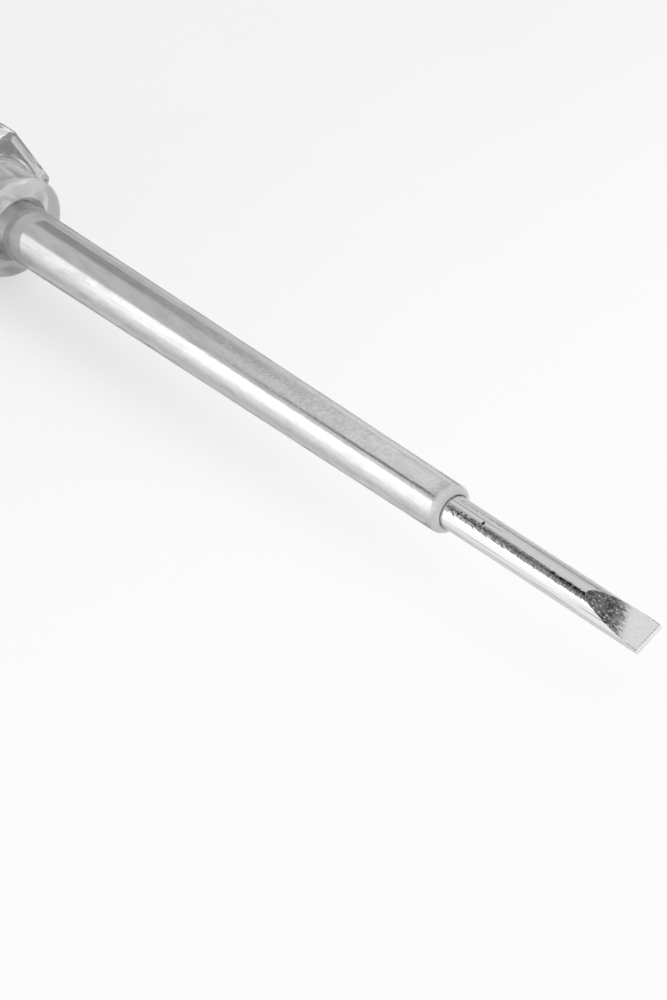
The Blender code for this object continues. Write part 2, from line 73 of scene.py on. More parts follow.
# Places from the frame
NOSE_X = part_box("handle_body")[1].x
AXIS_Z = (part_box("shank_sleeve")[0].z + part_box("shank_sleeve")[1].z) / 2
TIP_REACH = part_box("shank")[1].x - NOSE_X
SHANK_DEPTH = NOSE_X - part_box("shank")[0].x
SLEEVE_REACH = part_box("shank_sleeve")[1].x - NOSE_X
SLEEVE_SEAT = NOSE_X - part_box("shank_sleeve")[0].x
REAR_DEPTH = NOSE_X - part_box("handle_body")[0].x
RESISTOR_DEPTH = NOSE_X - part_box("resistor_front_cap")[1].x
RESISTOR_END = NOSE_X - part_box("resistor_rear_cap")[0].x
LAMP_DEPTH = NOSE_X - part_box("neon_front_cap")[1].x
LAMP_END = NOSE_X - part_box("neon_rear_cap")[0].x
SPRING_DEPTH = NOSE_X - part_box("contact_spring")[1].x
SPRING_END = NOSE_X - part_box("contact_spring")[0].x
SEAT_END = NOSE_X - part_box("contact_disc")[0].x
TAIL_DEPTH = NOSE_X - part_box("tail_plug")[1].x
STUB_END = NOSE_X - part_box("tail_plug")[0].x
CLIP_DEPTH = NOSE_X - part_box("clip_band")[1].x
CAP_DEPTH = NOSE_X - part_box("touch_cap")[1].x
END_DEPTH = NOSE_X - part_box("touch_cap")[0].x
PLACE = Matrix.Translation((NOSE_X, 0.0, AXIS_Z))

# Shank
ROD_RADIUS = 1.5 * MM
TIP_THICKNESS = 0.45 * MM
GROUND_LENGTH = 6.5 * MM
SHANK_ROLL = math.radians(25.0)
SHANK_CHAMFER = 0.3 * MM
TIP_EDGE = 0.05 * MM
NICK = Vector((61.4 * MM, -0.55 * MM, 1.40 * MM))
EAR_DEPTH = 14.0 * MM
EAR_LENGTH = 4.0 * MM
EAR_SPAN = 5.0 * MM
EAR_THICKNESS = 1.3 * MM
SWAGE_THICKNESS = 1.8 * MM
SWAGE_RUNOUT = 1.2 * MM

# Sleeve
ROD_BORE = 1.6 * MM
SLEEVE_FRONT_WALL = 0.6 * MM
SLEEVE_REAR_RADIUS = 2.6 * MM
SLEEVE_RIM = 0.7 * MM
SLEEVE_REAR_EDGE = 0.2 * MM
SLEEVE_GRIP = 0.02 * MM

# Handle
SOCKET_RADIUS = 2.7 * MM
MOULD_GAP = 0.1 * MM
COLLAR_RADIUS = 4.8 * MM
COLLAR_EDGE = 0.3 * MM
MOUTH_CHAMFER = 0.4 * MM
GUARD_DEPTH = 4.6 * MM
GUARD_WIDTH = 3.2 * MM
GUARD_FILLET = 0.8 * MM
GUARD_EDGE = 0.7 * MM
HEX_SIDES = 6
HEX_FLAT_RADIUS = 6.5 * MM
HEX_CORNER_RADIUS = 7.4 * MM
WAIST_DEPTH = 13.0 * MM
WAIST_RADIUS = 5.0 * MM
GRIP_DEPTH = 19.0 * MM
GRIP_RADIUS = 5.55 * MM
FLUTE_DEPTH = 0.5 * MM
FLUTE_RUNOUT = 3.0 * MM
REAR_COLLAR_LENGTH = 6.0 * MM
REAR_COLLAR_EDGE = 0.6 * MM
REAR_COLLAR_SLOPE = 2.5 * MM
BORE_RADIUS = 2.95 * MM
SHANK_STANDOUT = 1.0 * MM

# Resistor and lamp
RESISTOR_RADIUS = 1.8 * MM
RESISTOR_CAP_WALL = 0.3 * MM
RESISTOR_CAP_LENGTH = 2.6 * MM
LAMP_RADIUS = 2.3 * MM
LAMP_GLASS = 0.4 * MM
LAMP_CAP_WALL = 0.25 * MM
LAMP_CAP_LENGTH = 2.8 * MM
LAMP_CAP_END = 0.4 * MM
CAP_FIT = 0.05 * MM
SEAL_LENGTH = 1.6 * MM
LEAD_DIAMETER = 0.5 * MM
ELECTRODE_DIAMETER = 0.9 * MM
ELECTRODE_OFFSET = 0.75 * MM
ELECTRODE_OVERLAP = 4.0 * MM
PRESSED_EDGE = 0.2 * MM

# Spring and tail
SPRING_WIRE = 0.5 * MM
SPRING_RADIUS = 2.35 * MM
SPRING_CURLS = 7
SEAT_THICKNESS = 0.8 * MM
SEAT_RADIUS = 2.8 * MM
NIPPLE_LENGTH = 1.2 * MM
NIPPLE_RADIUS = 1.75 * MM
THREAD_PITCH = 1.25 * MM
THREAD_ROOT = 3.0 * MM
THREAD_HEIGHT = 0.45 * MM
THREAD_GAP = 0.15 * MM
THREAD_LEAD = 0.3 * MM
THREAD_TURNS = 4.5
STUB_RADIUS = 2.45 * MM
TOUCH_CAP_RADIUS = 5.2 * MM
TOUCH_FACE_RADIUS = 2.6 * MM
TOUCH_DOME = 2.2 * MM
KNURL_DEPTH = 0.3 * MM
KNURL_EDGE = 0.5 * MM
KNURL_RIDGES = 36

# Pocket clip
CLIP_THICKNESS = 0.6 * MM
CLIP_EDGE = 0.12 * MM
CLIP_BAND_RADIUS = 6.0 * MM
CLIP_HOLE = 3.6 * MM
CLIP_ROOT_WIDTH = 5.0 * MM
CLIP_END_WIDTH = 3.6 * MM
CLIP_RISE = 2.6 * MM
CLIP_BEND = 1.4 * MM
CLIP_LENGTH = 34.0 * MM
CLIP_FLARE_LENGTH = 3.5 * MM
CLIP_FLARE_RISE = 1.1 * MM
CLIP_REST_GAP = 0.15 * MM
CLIP_ROOT_LAP = 1.2 * MM

# Fineness
ROUND_SIDES = 96
HANDLE_SIDES = 180
KNURL_SIDES = 360
WIRE_SIDES = 16
ARC_STEPS = 8
EDGE_STEPS = 4
BEND_STEPS = 8
TIP_STEPS = 6
RIM_STEPS = 12
DOME_STEPS = 16
EASE_STEPS = 12
SLEEVE_STEPS = 20
SWAGE_STEPS = 24
GROUND_STEPS = 40
FLAT_STRIPS = 12
CURL_POINTS = 40
KNURL_STEPS = 18
KNURL_FADE = 3
CLIP_STEPS = 16
THREAD_ROWS = 12
HOLD_LOOP = 0.1 * MM
FLAT_TOLERANCE = 0.0015 * MM
SMOOTH_ANGLE = math.radians(35.0)
MERGE_DISTANCE = 0.0005 * MM

# Camera, fitted to the tool's edges in the photograph
CAMERA_AZIMUTH = math.radians(48.615)
CAMERA_ELEVATION = math.radians(35.917)
CAMERA_DISTANCE = 372.2 * MM
CAMERA_LENS = 158.52
CAMERA_AIM = Vector((45.033 * MM, 0.0, -0.337 * MM))
CAMERA_NEAR = 10.0 * MM

# Haze: the share of a matt surface in a clear plastic
SLEEVE_HAZE = 0.10
CUT_HAZE = 0.72
HANDLE_HAZE = 0.05
NOSE_HAZE = 0.25
FACE_HAZE = 0.55

# How far clear pieces bend light
SLEEVE_BENDING = 1.50
HANDLE_BENDING = 1.49
GLASS_BENDING = 1.5

# Tones of matt plastic, and of the sleeve's cut end: painted light below and painted shade above
MATT_DULL = 0.82
MATT_BRIGHT = 0.90
CUT_PAINTED_LIGHT = 0.97
CUT_PAINTED_SHADE = 0.70

# The resistor's colour bands, each at its depth behind the front cap's face
BAND_WIDTH = 0.9 * MM
RESISTOR_BANDS = (
    (3.7 * MM, (0.16, 0.07, 0.03, 1.0)),
    (5.5 * MM, (0.015, 0.015, 0.015, 1.0)),
    (7.3 * MM, (0.05, 0.22, 0.07, 1.0)),
    (10.2 * MM, (0.62, 0.45, 0.14, 1.0)),
)

# Floor, with the shares that glow to the camera by the nose and by the tip (less by the nose: painted
# shade), and the painted light and shade that the tool mirrors
FLOOR_SIZE = 8.0
FLOOR_GAP = 0.05 * MM
FLOOR_LEVEL = 0.985
FLOOR_GLOW_AND_PAINTED_SHADE = (0.55, 0.90)
FLOOR_PAINTED_LIGHT = 1.22
FLOOR_PAINTED_SHADE = 0.45
MIRROR_SLANT = 0.81

# Overhead softbox
SOFTBOX_PLACE = Vector((170.0 * MM, 70.0 * MM, 240.0 * MM))
SOFTBOX_AIM = Vector((40.0 * MM, 0.0, 0.0))
SOFTBOX_SIZE = 220.0 * MM
SOFTBOX_WATTS = 0.28

# Studio
STUDIO_LEVEL = 0.60
BACKDROP_LEVEL = 0.95
# Each panel: level, angles about the tool (from, to, softness; degrees up from the front), reach along X
PANELS = (
    (1.0, (56.0, 190.0, 2.5), (-0.42, 2.0, 0.015)),
    (0.80, (36.0, 215.0, 2.5), (-0.628, -0.45, 0.02)),
    (0.92, (36.0, 215.0, 2.5), (-0.616, -0.591, 0.012)),
    (2.0, (-20.0, 33.5, 8.0), (-2.0, -0.43, 0.02)),
    (1.15, (-20.0, 38.0, 12.0), (-2.0, -0.665, 0.03)),
    (0.16, (53.0, 68.0, 3.0), (-0.632, -0.594, 0.012)),
    (0.16, (26.0, 78.0, 2.5), (-0.591, -0.45, 0.004)),
    (0.0, (48.0, 75.0, 4.0), (-0.591, -0.45, 0.004)),
    (0.45, (138.0, 158.0, 2.5), (-0.591, -0.45, 0.004)),
    (0.22, (124.0, 215.0, 13.0), (-2.0, -0.650, 0.035)),
    (1.3, (56.0, 124.0, 8.0), (-0.12, 2.0, 0.05)),
    (0.50, (-20.0, 26.0, 6.0), (-0.40, 2.0, 0.03)),
    (0.50, (154.0, 200.0, 6.0), (-0.40, 2.0, 0.03)),
)


# Node boards

class Wire:
    """A socket's value, on which sums are written as plain expressions."""

    def __init__(self, board, socket):
        self.board = board
        self.socket = socket

    def maths(self, operation, *values):
        return self.board.node("ShaderNodeMath", {"operation": operation}, *values)

    def __add__(self, other):
        return self.maths("ADD", self, other)

    __radd__ = __add__

    def __sub__(self, other):
        return self.maths("SUBTRACT", self, other)

    def __rsub__(self, other):
        return self.maths("SUBTRACT", other, self)

    def __mul__(self, other):
        return self.maths("MULTIPLY", self, other)

    __rmul__ = __mul__

    def __truediv__(self, other):
        return self.maths("DIVIDE", self, other)

    def __rtruediv__(self, other):
        return self.maths("DIVIDE", other, self)

    def __mod__(self, other):
        return self.maths("FLOORED_MODULO", self, other)

    def __pow__(self, other):
        return self.maths("POWER", self, other)

    def __abs__(self):
        return self.maths("ABSOLUTE", self)

    def cos(self):
        return self.maths("COSINE", self)

    def sin(self):
        return self.maths("SINE", self)

    def angle_from(self, other):
        return self.maths("ARCTAN2", self, other)

    def most(self, other):
        return self.maths("MAXIMUM", self, other)

    def least(self, other):
        return self.maths("MINIMUM", self, other)

    def ramp(self, low, high, to_low=0.0, to_high=1.0):
        """Runs smoothly from one value to another while this one goes from low to high."""
        settings = {"interpolation_type": "SMOOTHSTEP"}
        return self.board.node("ShaderNodeMapRange", settings, self, low, high, to_low, to_high)


class Board:
    """A node tree that is written as code."""

    def __init__(self, tree):
        self.tree = tree
        self.tree.nodes.clear()

    def node(self, kind, settings=None, *values, out=0, **named):
        """Adds a node: its settings first, then the values or links of its sockets."""
        node = self.tree.nodes.new(kind)
        for key, value in (settings or {}).items():
            setattr(node, key, value)
        by_name = [(name.replace("_", " "), value) for name, value in named.items()]
        for key, value in list(enumerate(values)) + by_name:
            self.feed(node.inputs[key], value)
        return Wire(self, node.outputs[out]) if node.outputs else None

    def feed(self, socket, value):
        if isinstance(value, Wire):
            self.tree.links.new(value.socket, socket)
        else:
            socket.default_value = value

    def split(self, vector):
        return [self.node("ShaderNodeSeparateXYZ", None, vector, out=k) for k in range(3)]

    def rays(self, kind):
        """One for rays of a kind, such as Camera, and zero for the others."""
        return self.node("ShaderNodeLightPath", out=f"Is {kind} Ray")


class Finish(Board):
    """A material that is written as code, with its patterns in the tool's own frame."""

    def __init__(self, name):
        self.material = bpy.data.materials.new(name)
        self.material.use_nodes = True
        super().__init__(self.material.node_tree)
        self.point = self.node("ShaderNodeTexCoord", out="Object")

    def along(self):
        """The distance from the nose face towards the tip, and the place across the axis."""
        centred = self.node("ShaderNodeMapping", None, self.point, (-NOSE_X, 0.0, -AXIS_Z))
        return self.split(centred)

    def noise(self, place, detail, rough):
        return self.node("ShaderNodeTexNoise", Vector=place, Scale=1.0, Detail=detail, Roughness=rough)

    def grain(self, size, detail=3.0, rough=0.55):
        """Noise whose marks have the given size along X, Y and Z."""
        spread = tuple(1.0 / side for side in size)
        scaled = self.node("ShaderNodeMapping", None, self.point, Scale=spread)
        return self.noise(scaled, detail, rough)

    def polar_grain(self, length, arc, detail=3.0):
        """Noise drawn out along the axis, on the piece's own angle about it."""
        x, y, z = self.along()
        angle = z.angle_from(y)
        span = ROD_RADIUS / arc
        place = self.node("ShaderNodeCombineXYZ", None, x / length, angle.cos() * span, angle.sin() * span)
        return self.noise(place, detail, 0.6)

    def between(self, share, first, second):
        """A colour between two, by a share."""
        mixed = self.node("ShaderNodeMix", {"data_type": "RGBA"}, out=2)
        node = mixed.socket.node
        for key, value in ((0, share), (6, first), (7, second)):
            self.feed(node.inputs[key], value)
        return mixed

    def bump(self, height, depth):
        return self.node("ShaderNodeBump", Strength=1.0, Distance=depth, Height=height)

    def principled(self, **sockets):
        return self.node("ShaderNodeBsdfPrincipled", **sockets)

    def clear(self, colour, rough, bending, normal):
        """A shader for clear plastic or glass."""
        sockets = {"Base_Color": colour, "Roughness": rough, "IOR": bending, "Normal": normal}
        return self.principled(Transmission_Weight=1.0, **sockets)

    def end(self, shader):
        self.node("ShaderNodeOutputMaterial", None, shader)
        return self.material

    def shade(self, **sockets):
        """Ends the board in one Principled shader."""
        return self.end(self.principled(**sockets))

    def mix(self, share, first, second):
        """Ends the board in a mix of two shaders."""
        return self.end(self.node("ShaderNodeMixShader", None, share, first, second))


def grey(level):
    return (level, level, level, 1.0)


class Recipe(Board):
    """A geometry node tree with named inputs."""

    def __init__(self, name, **inputs):
        super().__init__(bpy.data.node_groups.new(name, "GeometryNodeTree"))
        face = self.tree.interface
        face.new_socket("Geometry", in_out="INPUT", socket_type="NodeSocketGeometry")
        face.new_socket("Geometry", in_out="OUTPUT", socket_type="NodeSocketGeometry")
        self.identifiers = {}
        for key, kind in {**inputs, "Material": "NodeSocketMaterial"}.items():
            socket = face.new_socket(key.replace("_", " "), in_out="INPUT", socket_type=kind)
            self.identifiers[key] = socket.identifier
        self.start = self.tree.nodes.new("NodeGroupInput")

    def given(self, key):
        return Wire(self, self.start.outputs[key.replace("_", " ")])

    def attribute(self, name):
        return self.node("GeometryNodeInputNamedAttribute", {"data_type": "FLOAT"}, name)

    def finish(self, geometry):
        real = self.node("GeometryNodeRealizeInstances", None, geometry)
        coloured = self.node("GeometryNodeSetMaterial", None, real, Material=self.given("Material"))
        self.node("NodeGroupOutput", None, coloured)
        return self

    def run(self, item, **values):
        """Runs the tree on an object, which it uses up, and returns the result as a plain mesh."""
        modifier = item.modifiers.new("recipe", "NODES")
        modifier.node_group = self.tree
        for key, value in values.items():
            modifier[self.identifiers[key]] = value
        graph = bpy.context.evaluated_depsgraph_get()
        graph.update()
        made = bpy.data.meshes.new_from_object(item.evaluated_get(graph), depsgraph=graph)
        item.modifiers.remove(modifier)
        bpy.data.objects.remove(item)
        return made


# Shapes

RELIEFS = ("hexness", "flute", "thread", "knurl", "ear")


def linked(name, data):
    item = bpy.data.objects.new(name, data)
    bpy.context.scene.collection.objects.link(item)
    return item


def shown(name, mesh, place=PLACE):
    """A finished piece: its mesh moved to its place, smooth but for its real edges."""
    mesh.transform(place)
    mesh.name = name
    mesh.shade_smooth()
    mesh.set_sharp_from_angle(angle=SMOOTH_ANGLE)
    return linked(name, mesh)


def closed_mesh(name, shape):
    bmesh.ops.remove_doubles(shape, verts=shape.verts, dist=MERGE_DISTANCE)
    bmesh.ops.recalc_face_normals(shape, faces=shape.faces)
    mesh = bpy.data.meshes.new(name)
    shape.to_mesh(mesh)
    shape.free()
    return mesh


def lofted(name, sections, ring=False):
    """A skin over sections of equal count, closed into a ring or capped."""
    shape = bmesh.new()
    loops = [[shape.verts.new(point) for point in section] for section in sections]
    pairs = list(zip(loops, loops[1:]))
    if ring:
        pairs.append((loops[-1], loops[0]))
    for one, other in pairs:
        for k, point in enumerate(one):
            shape.faces.new((one[k - 1], point, other[k], other[k - 1]))
    if not ring:
        shape.faces.new(loops[0])
        shape.faces.new(loops[-1])
    return closed_mesh(name, shape)


def turned(name, profile, ring=False, sides=ROUND_SIDES):
    """A piece turned about the X axis, from (place, radius) points."""
    angles = [math.tau * k / sides for k in range(sides)]
    sections = [[(x, r * math.cos(a), r * math.sin(a)) for a in angles] for x, r in profile]
    return lofted(name, sections, ring)


def arc(centre, radii, start, end, steps=ARC_STEPS):
    """Points on an elliptical arc between two angles in degrees."""
    angles = [math.radians(start + (end - start) * k / steps) for k in range(steps + 1)]
    return [(centre[0] + radii[0] * math.cos(a), centre[1] + radii[1] * math.sin(a)) for a in angles]


def front_round(x, radius, edge, steps=EDGE_STEPS):
    """A rounded edge at the front of a turned piece."""
    return arc((x - edge, radius - edge), (edge, edge), 0.0, 90.0, steps)


def rear_round(x, radius, edge, steps=EDGE_STEPS):
    """A rounded edge at its rear."""
    return arc((x + edge, radius - edge), (edge, edge), 90.0, 180.0, steps)


def painted(mesh, *materials):
    for material in materials:
        mesh.materials.append(material)
    return mesh


def blank(name, stations, ring, sides):
    """A round blank; its stations (place, radius, reliefs) say how much of each relief is worked in."""
    mesh = turned(name, [(x, r) for x, r, _ in stations], ring, sides)
    shape = bmesh.new()
    shape.from_mesh(mesh)
    layers = {relief: shape.verts.layers.float.new(relief) for relief in RELIEFS}
    lookup = {}
    for x, r, reliefs in stations:
        lookup[round(x / MERGE_DISTANCE), round(r / MERGE_DISTANCE)] = reliefs
    for vert in shape.verts:
        r = math.hypot(vert.co.y, vert.co.z)
        key = (round(vert.co.x / MERGE_DISTANCE), round(r / MERGE_DISTANCE))
        near = [(key[0] + i, key[1] + j) for i in (0, -1, 1) for j in (0, -1, 1)]
        reliefs = next((lookup[place] for place in near if place in lookup), {})
        for relief, value in reliefs.items():
            vert[layers[relief]] = value
    shape.to_mesh(mesh)
    shape.free()
    return linked(name, mesh)


def plain(profile):
    """Stations with no relief, from (place, radius) points."""
    return [(x, r, {}) for x, r in profile]


def relief_recipe():
    """Works hexagonal rings, flutes, threads, knurls and the ears' slot into a round blank."""
    names = ("Sides", "Flat", "Corner", "Pitch", "Ridges", "Slot_width", "Slot_height", "Roll")
    recipe = Recipe("relief", **dict.fromkeys(names, "NodeSocketFloat"))
    position = recipe.node("GeometryNodeInputPosition")
    x, y, z = recipe.split(position)
    angle = z.angle_from(y)
    radius = (y * y + z * z) ** 0.5
    side = math.tau / recipe.given("Sides")
    from_flat = angle % side - side / 2
    corner = recipe.given("Corner")
    share = (recipe.given("Flat") / from_flat.cos()).least(corner) / corner
    thread_turn = math.tau * x / recipe.given("Pitch") - angle
    worked = radius * (1.0 - recipe.attribute("hexness") * (1.0 - share))
    worked = worked - recipe.attribute("flute") * (1.0 - (recipe.given("Sides") * angle).cos()) / 2
    worked = worked + recipe.attribute("thread") * (1.0 + thread_turn.cos()) / 2
    worked = worked - recipe.attribute("knurl") * (1.0 - (recipe.given("Ridges") * angle).cos()) / 2
    rolled = angle - recipe.given("Roll")
    slot_side = recipe.given("Slot_width") / abs(rolled.cos())
    slot_top = recipe.given("Slot_height") / abs(rolled.sin())
    slot = slot_side.least(slot_top)
    worked = worked + recipe.attribute("ear") * (slot.most(worked) - worked)
    moved = recipe.node("ShaderNodeCombineXYZ", None, x, worked * angle.cos(), worked * angle.sin())
    shaped = recipe.node("GeometryNodeSetPosition", None, recipe.given("Geometry"), Position=moved)
    return recipe.finish(shaped)


def relief(recipe, item, material):
    """A blank with its reliefs worked in, as a mesh."""
    return recipe.run(
        item,
        Sides=float(HEX_SIDES),
        Flat=HEX_FLAT_RADIUS,
        Corner=HEX_CORNER_RADIUS,
        Pitch=THREAD_PITCH,
        Ridges=float(KNURL_RIDGES),
        Slot_width=EAR_SPAN / 2 + MOULD_GAP,
        Slot_height=EAR_THICKNESS / 2 + MOULD_GAP,
        Roll=SHANK_ROLL,
        Material=material,
    )


def eased(start, end, share):
    """A value that leaves its start and reaches its end gently."""
    return start + (end - start) * (1.0 - math.cos(math.pi * share)) / 2


def ease_between(start, end, steps=EASE_STEPS):
    """Stations that carry one (place, radius, hexness, flute) smoothly over into another."""
    made = []
    for k in range(1, steps + 1):
        share = k / steps
        x = start[0] + (end[0] - start[0]) * share
        made.append((x, *(eased(a, b, share) for a, b in zip(start[1:], end[1:]))))
    return made


def hex_ring(front, width, edge):
    """Stations along a hexagonal ring with rounded edges."""
    lead = front_round(-front, HEX_CORNER_RADIUS, edge, ARC_STEPS)
    trail = rear_round(-front - width, HEX_CORNER_RADIUS, edge, ARC_STEPS)
    return [(x, r, 1.0, 0.0) for x, r in lead + trail]


def handle_outside():
    """Stations from the nose over the guard, waist, grip and rear collar."""
    collar_front = REAR_DEPTH - REAR_COLLAR_LENGTH
    slope_front = collar_front - REAR_COLLAR_SLOPE
    guard = hex_ring(GUARD_DEPTH, GUARD_WIDTH, GUARD_EDGE)
    rear_collar = hex_ring(collar_front, REAR_COLLAR_LENGTH, REAR_COLLAR_EDGE)
    waist = (-WAIST_DEPTH, WAIST_RADIUS, 0.0, 0.0)
    grip_front = (-GRIP_DEPTH, GRIP_RADIUS, 0.0, FLUTE_DEPTH)
    grip_rear = (FLUTE_RUNOUT - slope_front, GRIP_RADIUS, 0.0, FLUTE_DEPTH)
    slope_start = (-slope_front, GRIP_RADIUS, 0.0, 0.0)
    nose = front_round(0.0, COLLAR_RADIUS, COLLAR_EDGE, ARC_STEPS)
    fillet_centre = (GUARD_FILLET - GUARD_DEPTH, COLLAR_RADIUS + GUARD_FILLET)
    fillet = arc(fillet_centre, (GUARD_FILLET, GUARD_FILLET), 270.0, 180.0)
    stations = [(x, r, 0.0, 0.0) for x, r in nose + fillet]
    stations += guard
    stations += ease_between(guard[-1], waist)
    stations += ease_between(waist, grip_front)
    stations += ease_between(grip_front, grip_rear)
    stations += ease_between(grip_rear, slope_start)
    stations += ease_between(slope_start, rear_collar[0])
    stations += rear_collar[1:]
    return [(x, r, {"hexness": hexness, "flute": flute}) for x, r, hexness, flute in stations]


def handle_inside():
    """Stations from the rear thread through the bore and the ears' slot to the mouth."""
    thread_front = SEAT_END
    rows = math.ceil(THREAD_ROWS * (REAR_DEPTH - thread_front) / THREAD_PITCH)
    step = (REAR_DEPTH - thread_front) / rows
    bore_front = SHANK_DEPTH - SHANK_STANDOUT
    socket_end = SLEEVE_SEAT + MOULD_GAP
    slot_rear = EAR_DEPTH + EAR_LENGTH + MOULD_GAP
    slot_front = EAR_DEPTH - MOULD_GAP
    sliver = 2 * MERGE_DISTANCE
    thread = {"thread": THREAD_HEIGHT}
    bore = [(-thread_front, BORE_RADIUS), (-bore_front, BORE_RADIUS), (-bore_front, ROD_BORE)]
    bore += [(-slot_rear - sliver, ROD_BORE)]
    mouth = [(sliver - slot_front, ROD_BORE), (-socket_end, ROD_BORE), (-socket_end, SOCKET_RADIUS)]
    mouth += [(-MOUTH_CHAMFER, SOCKET_RADIUS), (0.0, SOCKET_RADIUS + MOUTH_CHAMFER)]
    stations = [(k * step - REAR_DEPTH, THREAD_ROOT + THREAD_GAP, thread) for k in range(rows + 1)]
    stations += plain(bore)
    stations += [(-slot, ROD_BORE, {"ear": 1.0}) for slot in (slot_rear, slot_front)]
    stations += plain(mouth)
    return stations


def make_handle(recipe, plastic):
    stations = handle_outside() + handle_inside()
    mesh = relief(recipe, blank("handle_blank", stations, True, HANDLE_SIDES), plastic)
    return shown("clear_handle", mesh)


def shank_section(x, radius, half, swage=0.0):
    """A section of the rod between its two ground flats, or swaged flat and wide."""
    sides = ROUND_SIDES // 2
    corner = math.asin(min(1.0, half / radius))
    points = []
    for middle in (0.0, math.pi):
        for k in range(sides + 1):
            a = middle + corner * (2.0 * k / sides - 1.0)
            points.append((radius * math.cos(a), radius * math.sin(a)))
        sign = 1.0 if middle == 0.0 else -1.0
        edge = sign * radius * math.cos(corner)
        points += [(edge * (1.0 - 2.0 * k / FLAT_STRIPS), sign * half) for k in range(1, FLAT_STRIPS)]
    wide = 1.0 + swage * (EAR_SPAN / 2 / ROD_RADIUS - 1.0)
    thin = 1.0 + swage * (SWAGE_THICKNESS / 2 / ROD_RADIUS - 1.0)
    return [(x, y * wide, z * thin) for y, z in points]


def make_shank(steel, ground):
    """The rod: chamfered rear, swaged ears, plain shaft and a tip ground flat on two sides."""
    slope = (ROD_RADIUS - TIP_THICKNESS / 2) / GROUND_LENGTH
    shoulder = TIP_REACH - GROUND_LENGTH
    sections = [shank_section(-SHANK_DEPTH, ROD_RADIUS - SHANK_CHAMFER, ROD_RADIUS - SHANK_CHAMFER)]
    sections.append(shank_section(SHANK_CHAMFER - SHANK_DEPTH, ROD_RADIUS, ROD_RADIUS))
    for k in range(SWAGE_STEPS + 1):
        x = -EAR_DEPTH - EAR_LENGTH + EAR_LENGTH * k / SWAGE_STEPS
        from_end = min(x + EAR_DEPTH + EAR_LENGTH, -EAR_DEPTH - x)
        swage = eased(0.0, 1.0, min(1.0, from_end / SWAGE_RUNOUT))
        sections.append(shank_section(x, ROD_RADIUS, ROD_RADIUS, swage))
    for x in (HOLD_LOOP - EAR_DEPTH, shoulder - HOLD_LOOP):
        sections.append(shank_section(x, ROD_RADIUS, ROD_RADIUS))
    for k in range(GROUND_STEPS + 1):
        share = (k / GROUND_STEPS) ** 2
        x = shoulder + (GROUND_LENGTH - TIP_EDGE) * share
        sections.append(shank_section(x, ROD_RADIUS, TIP_THICKNESS / 2 + slope * (TIP_REACH - x)))
    sections.append(shank_section(TIP_REACH, ROD_RADIUS - TIP_EDGE, TIP_THICKNESS / 2 - TIP_EDGE))
    mesh = painted(lofted("shank", sections), steel, ground)
    for face in mesh.polygons:
        flat_height = TIP_THICKNESS / 2 + slope * (TIP_REACH - face.center.x)
        off_flat = abs(abs(face.center.z) - flat_height)
        face.material_index = 1 if face.center.x > shoulder and off_flat < FLAT_TOLERANCE else 0
    return shown("plated_shank", mesh, PLACE @ Matrix.Rotation(SHANK_ROLL, 4, "X"))


def make_sleeve(plastic):
    """A tapered tube moulded tight onto the rod, with a round rim that stands just clear of it."""
    tight = ROD_RADIUS - SLEEVE_GRIP
    straight = SLEEVE_REACH - SLEEVE_RIM
    front_radius = ROD_BORE + SLEEVE_FRONT_WALL
    profile = [(straight, tight), (-SLEEVE_SEAT, tight)]
    profile += [(-SLEEVE_SEAT, SLEEVE_REAR_RADIUS - SLEEVE_REAR_EDGE)]
    profile += [(SLEEVE_REAR_EDGE - SLEEVE_SEAT, SLEEVE_REAR_RADIUS)]
    for k in range(SLEEVE_STEPS):
        share = k / SLEEVE_STEPS
        profile.append((straight * share, SLEEVE_REAR_RADIUS + (front_radius - SLEEVE_REAR_RADIUS) * share))
    profile += arc((straight, ROD_BORE), (SLEEVE_RIM, SLEEVE_FRONT_WALL), 90.0, 0.0, RIM_STEPS)
    return shown("insulating_sleeve", painted(turned("sleeve", profile, ring=True), plastic))


def cup(name, bore, wall, length, end):
    """A pressed cap with a rounded edge, open to the rear."""
    radius = bore + wall
    profile = [(0.0, 0.0), (0.0, radius - PRESSED_EDGE)]
    profile += front_round(0.0, radius, PRESSED_EDGE)
    profile += [(-length, radius), (-length, bore), (-end, bore), (-end, 0.0)]
    return turned(name, profile)


def facing(depth, backwards=False):
    """The place of a piece at a depth, facing the tip or the rear."""
    turn = Matrix.Rotation(math.pi, 4, "Z") if backwards else Matrix.Identity(4)
    return PLACE @ Matrix.Translation((-depth, 0.0, 0.0)) @ turn


def make_resistor(film, plated):
    """The film rod and its two pressed caps, each with its slot and node."""
    wall = RESISTOR_CAP_WALL
    front = wall + CAP_FIT
    length = RESISTOR_END - RESISTOR_DEPTH - 2 * front
    profile = [(0.0, 0.0), (0.0, RESISTOR_RADIUS - PRESSED_EDGE)]
    profile += front_round(0.0, RESISTOR_RADIUS, PRESSED_EDGE)
    profile += rear_round(-length, RESISTOR_RADIUS, PRESSED_EDGE)
    profile += [(-length, 0.0)]
    rod = painted(turned("resistor_rod", profile), film)
    core = shown("resistor_rod", rod, facing(RESISTOR_DEPTH + front))
    made = [(core, "resistor_film", "resistor_core")]
    for end, depth in (("front", RESISTOR_DEPTH), ("rear", RESISTOR_END)):
        name = f"resistor_{end}_ferrule"
        mesh = cup(name, RESISTOR_RADIUS + CAP_FIT, wall, RESISTOR_CAP_LENGTH, wall)
        ferrule = shown(name, painted(mesh, plated), facing(depth, end == "rear"))
        made.append((ferrule, "nickel_plate", f"resistor_{end}_cap"))
    return made


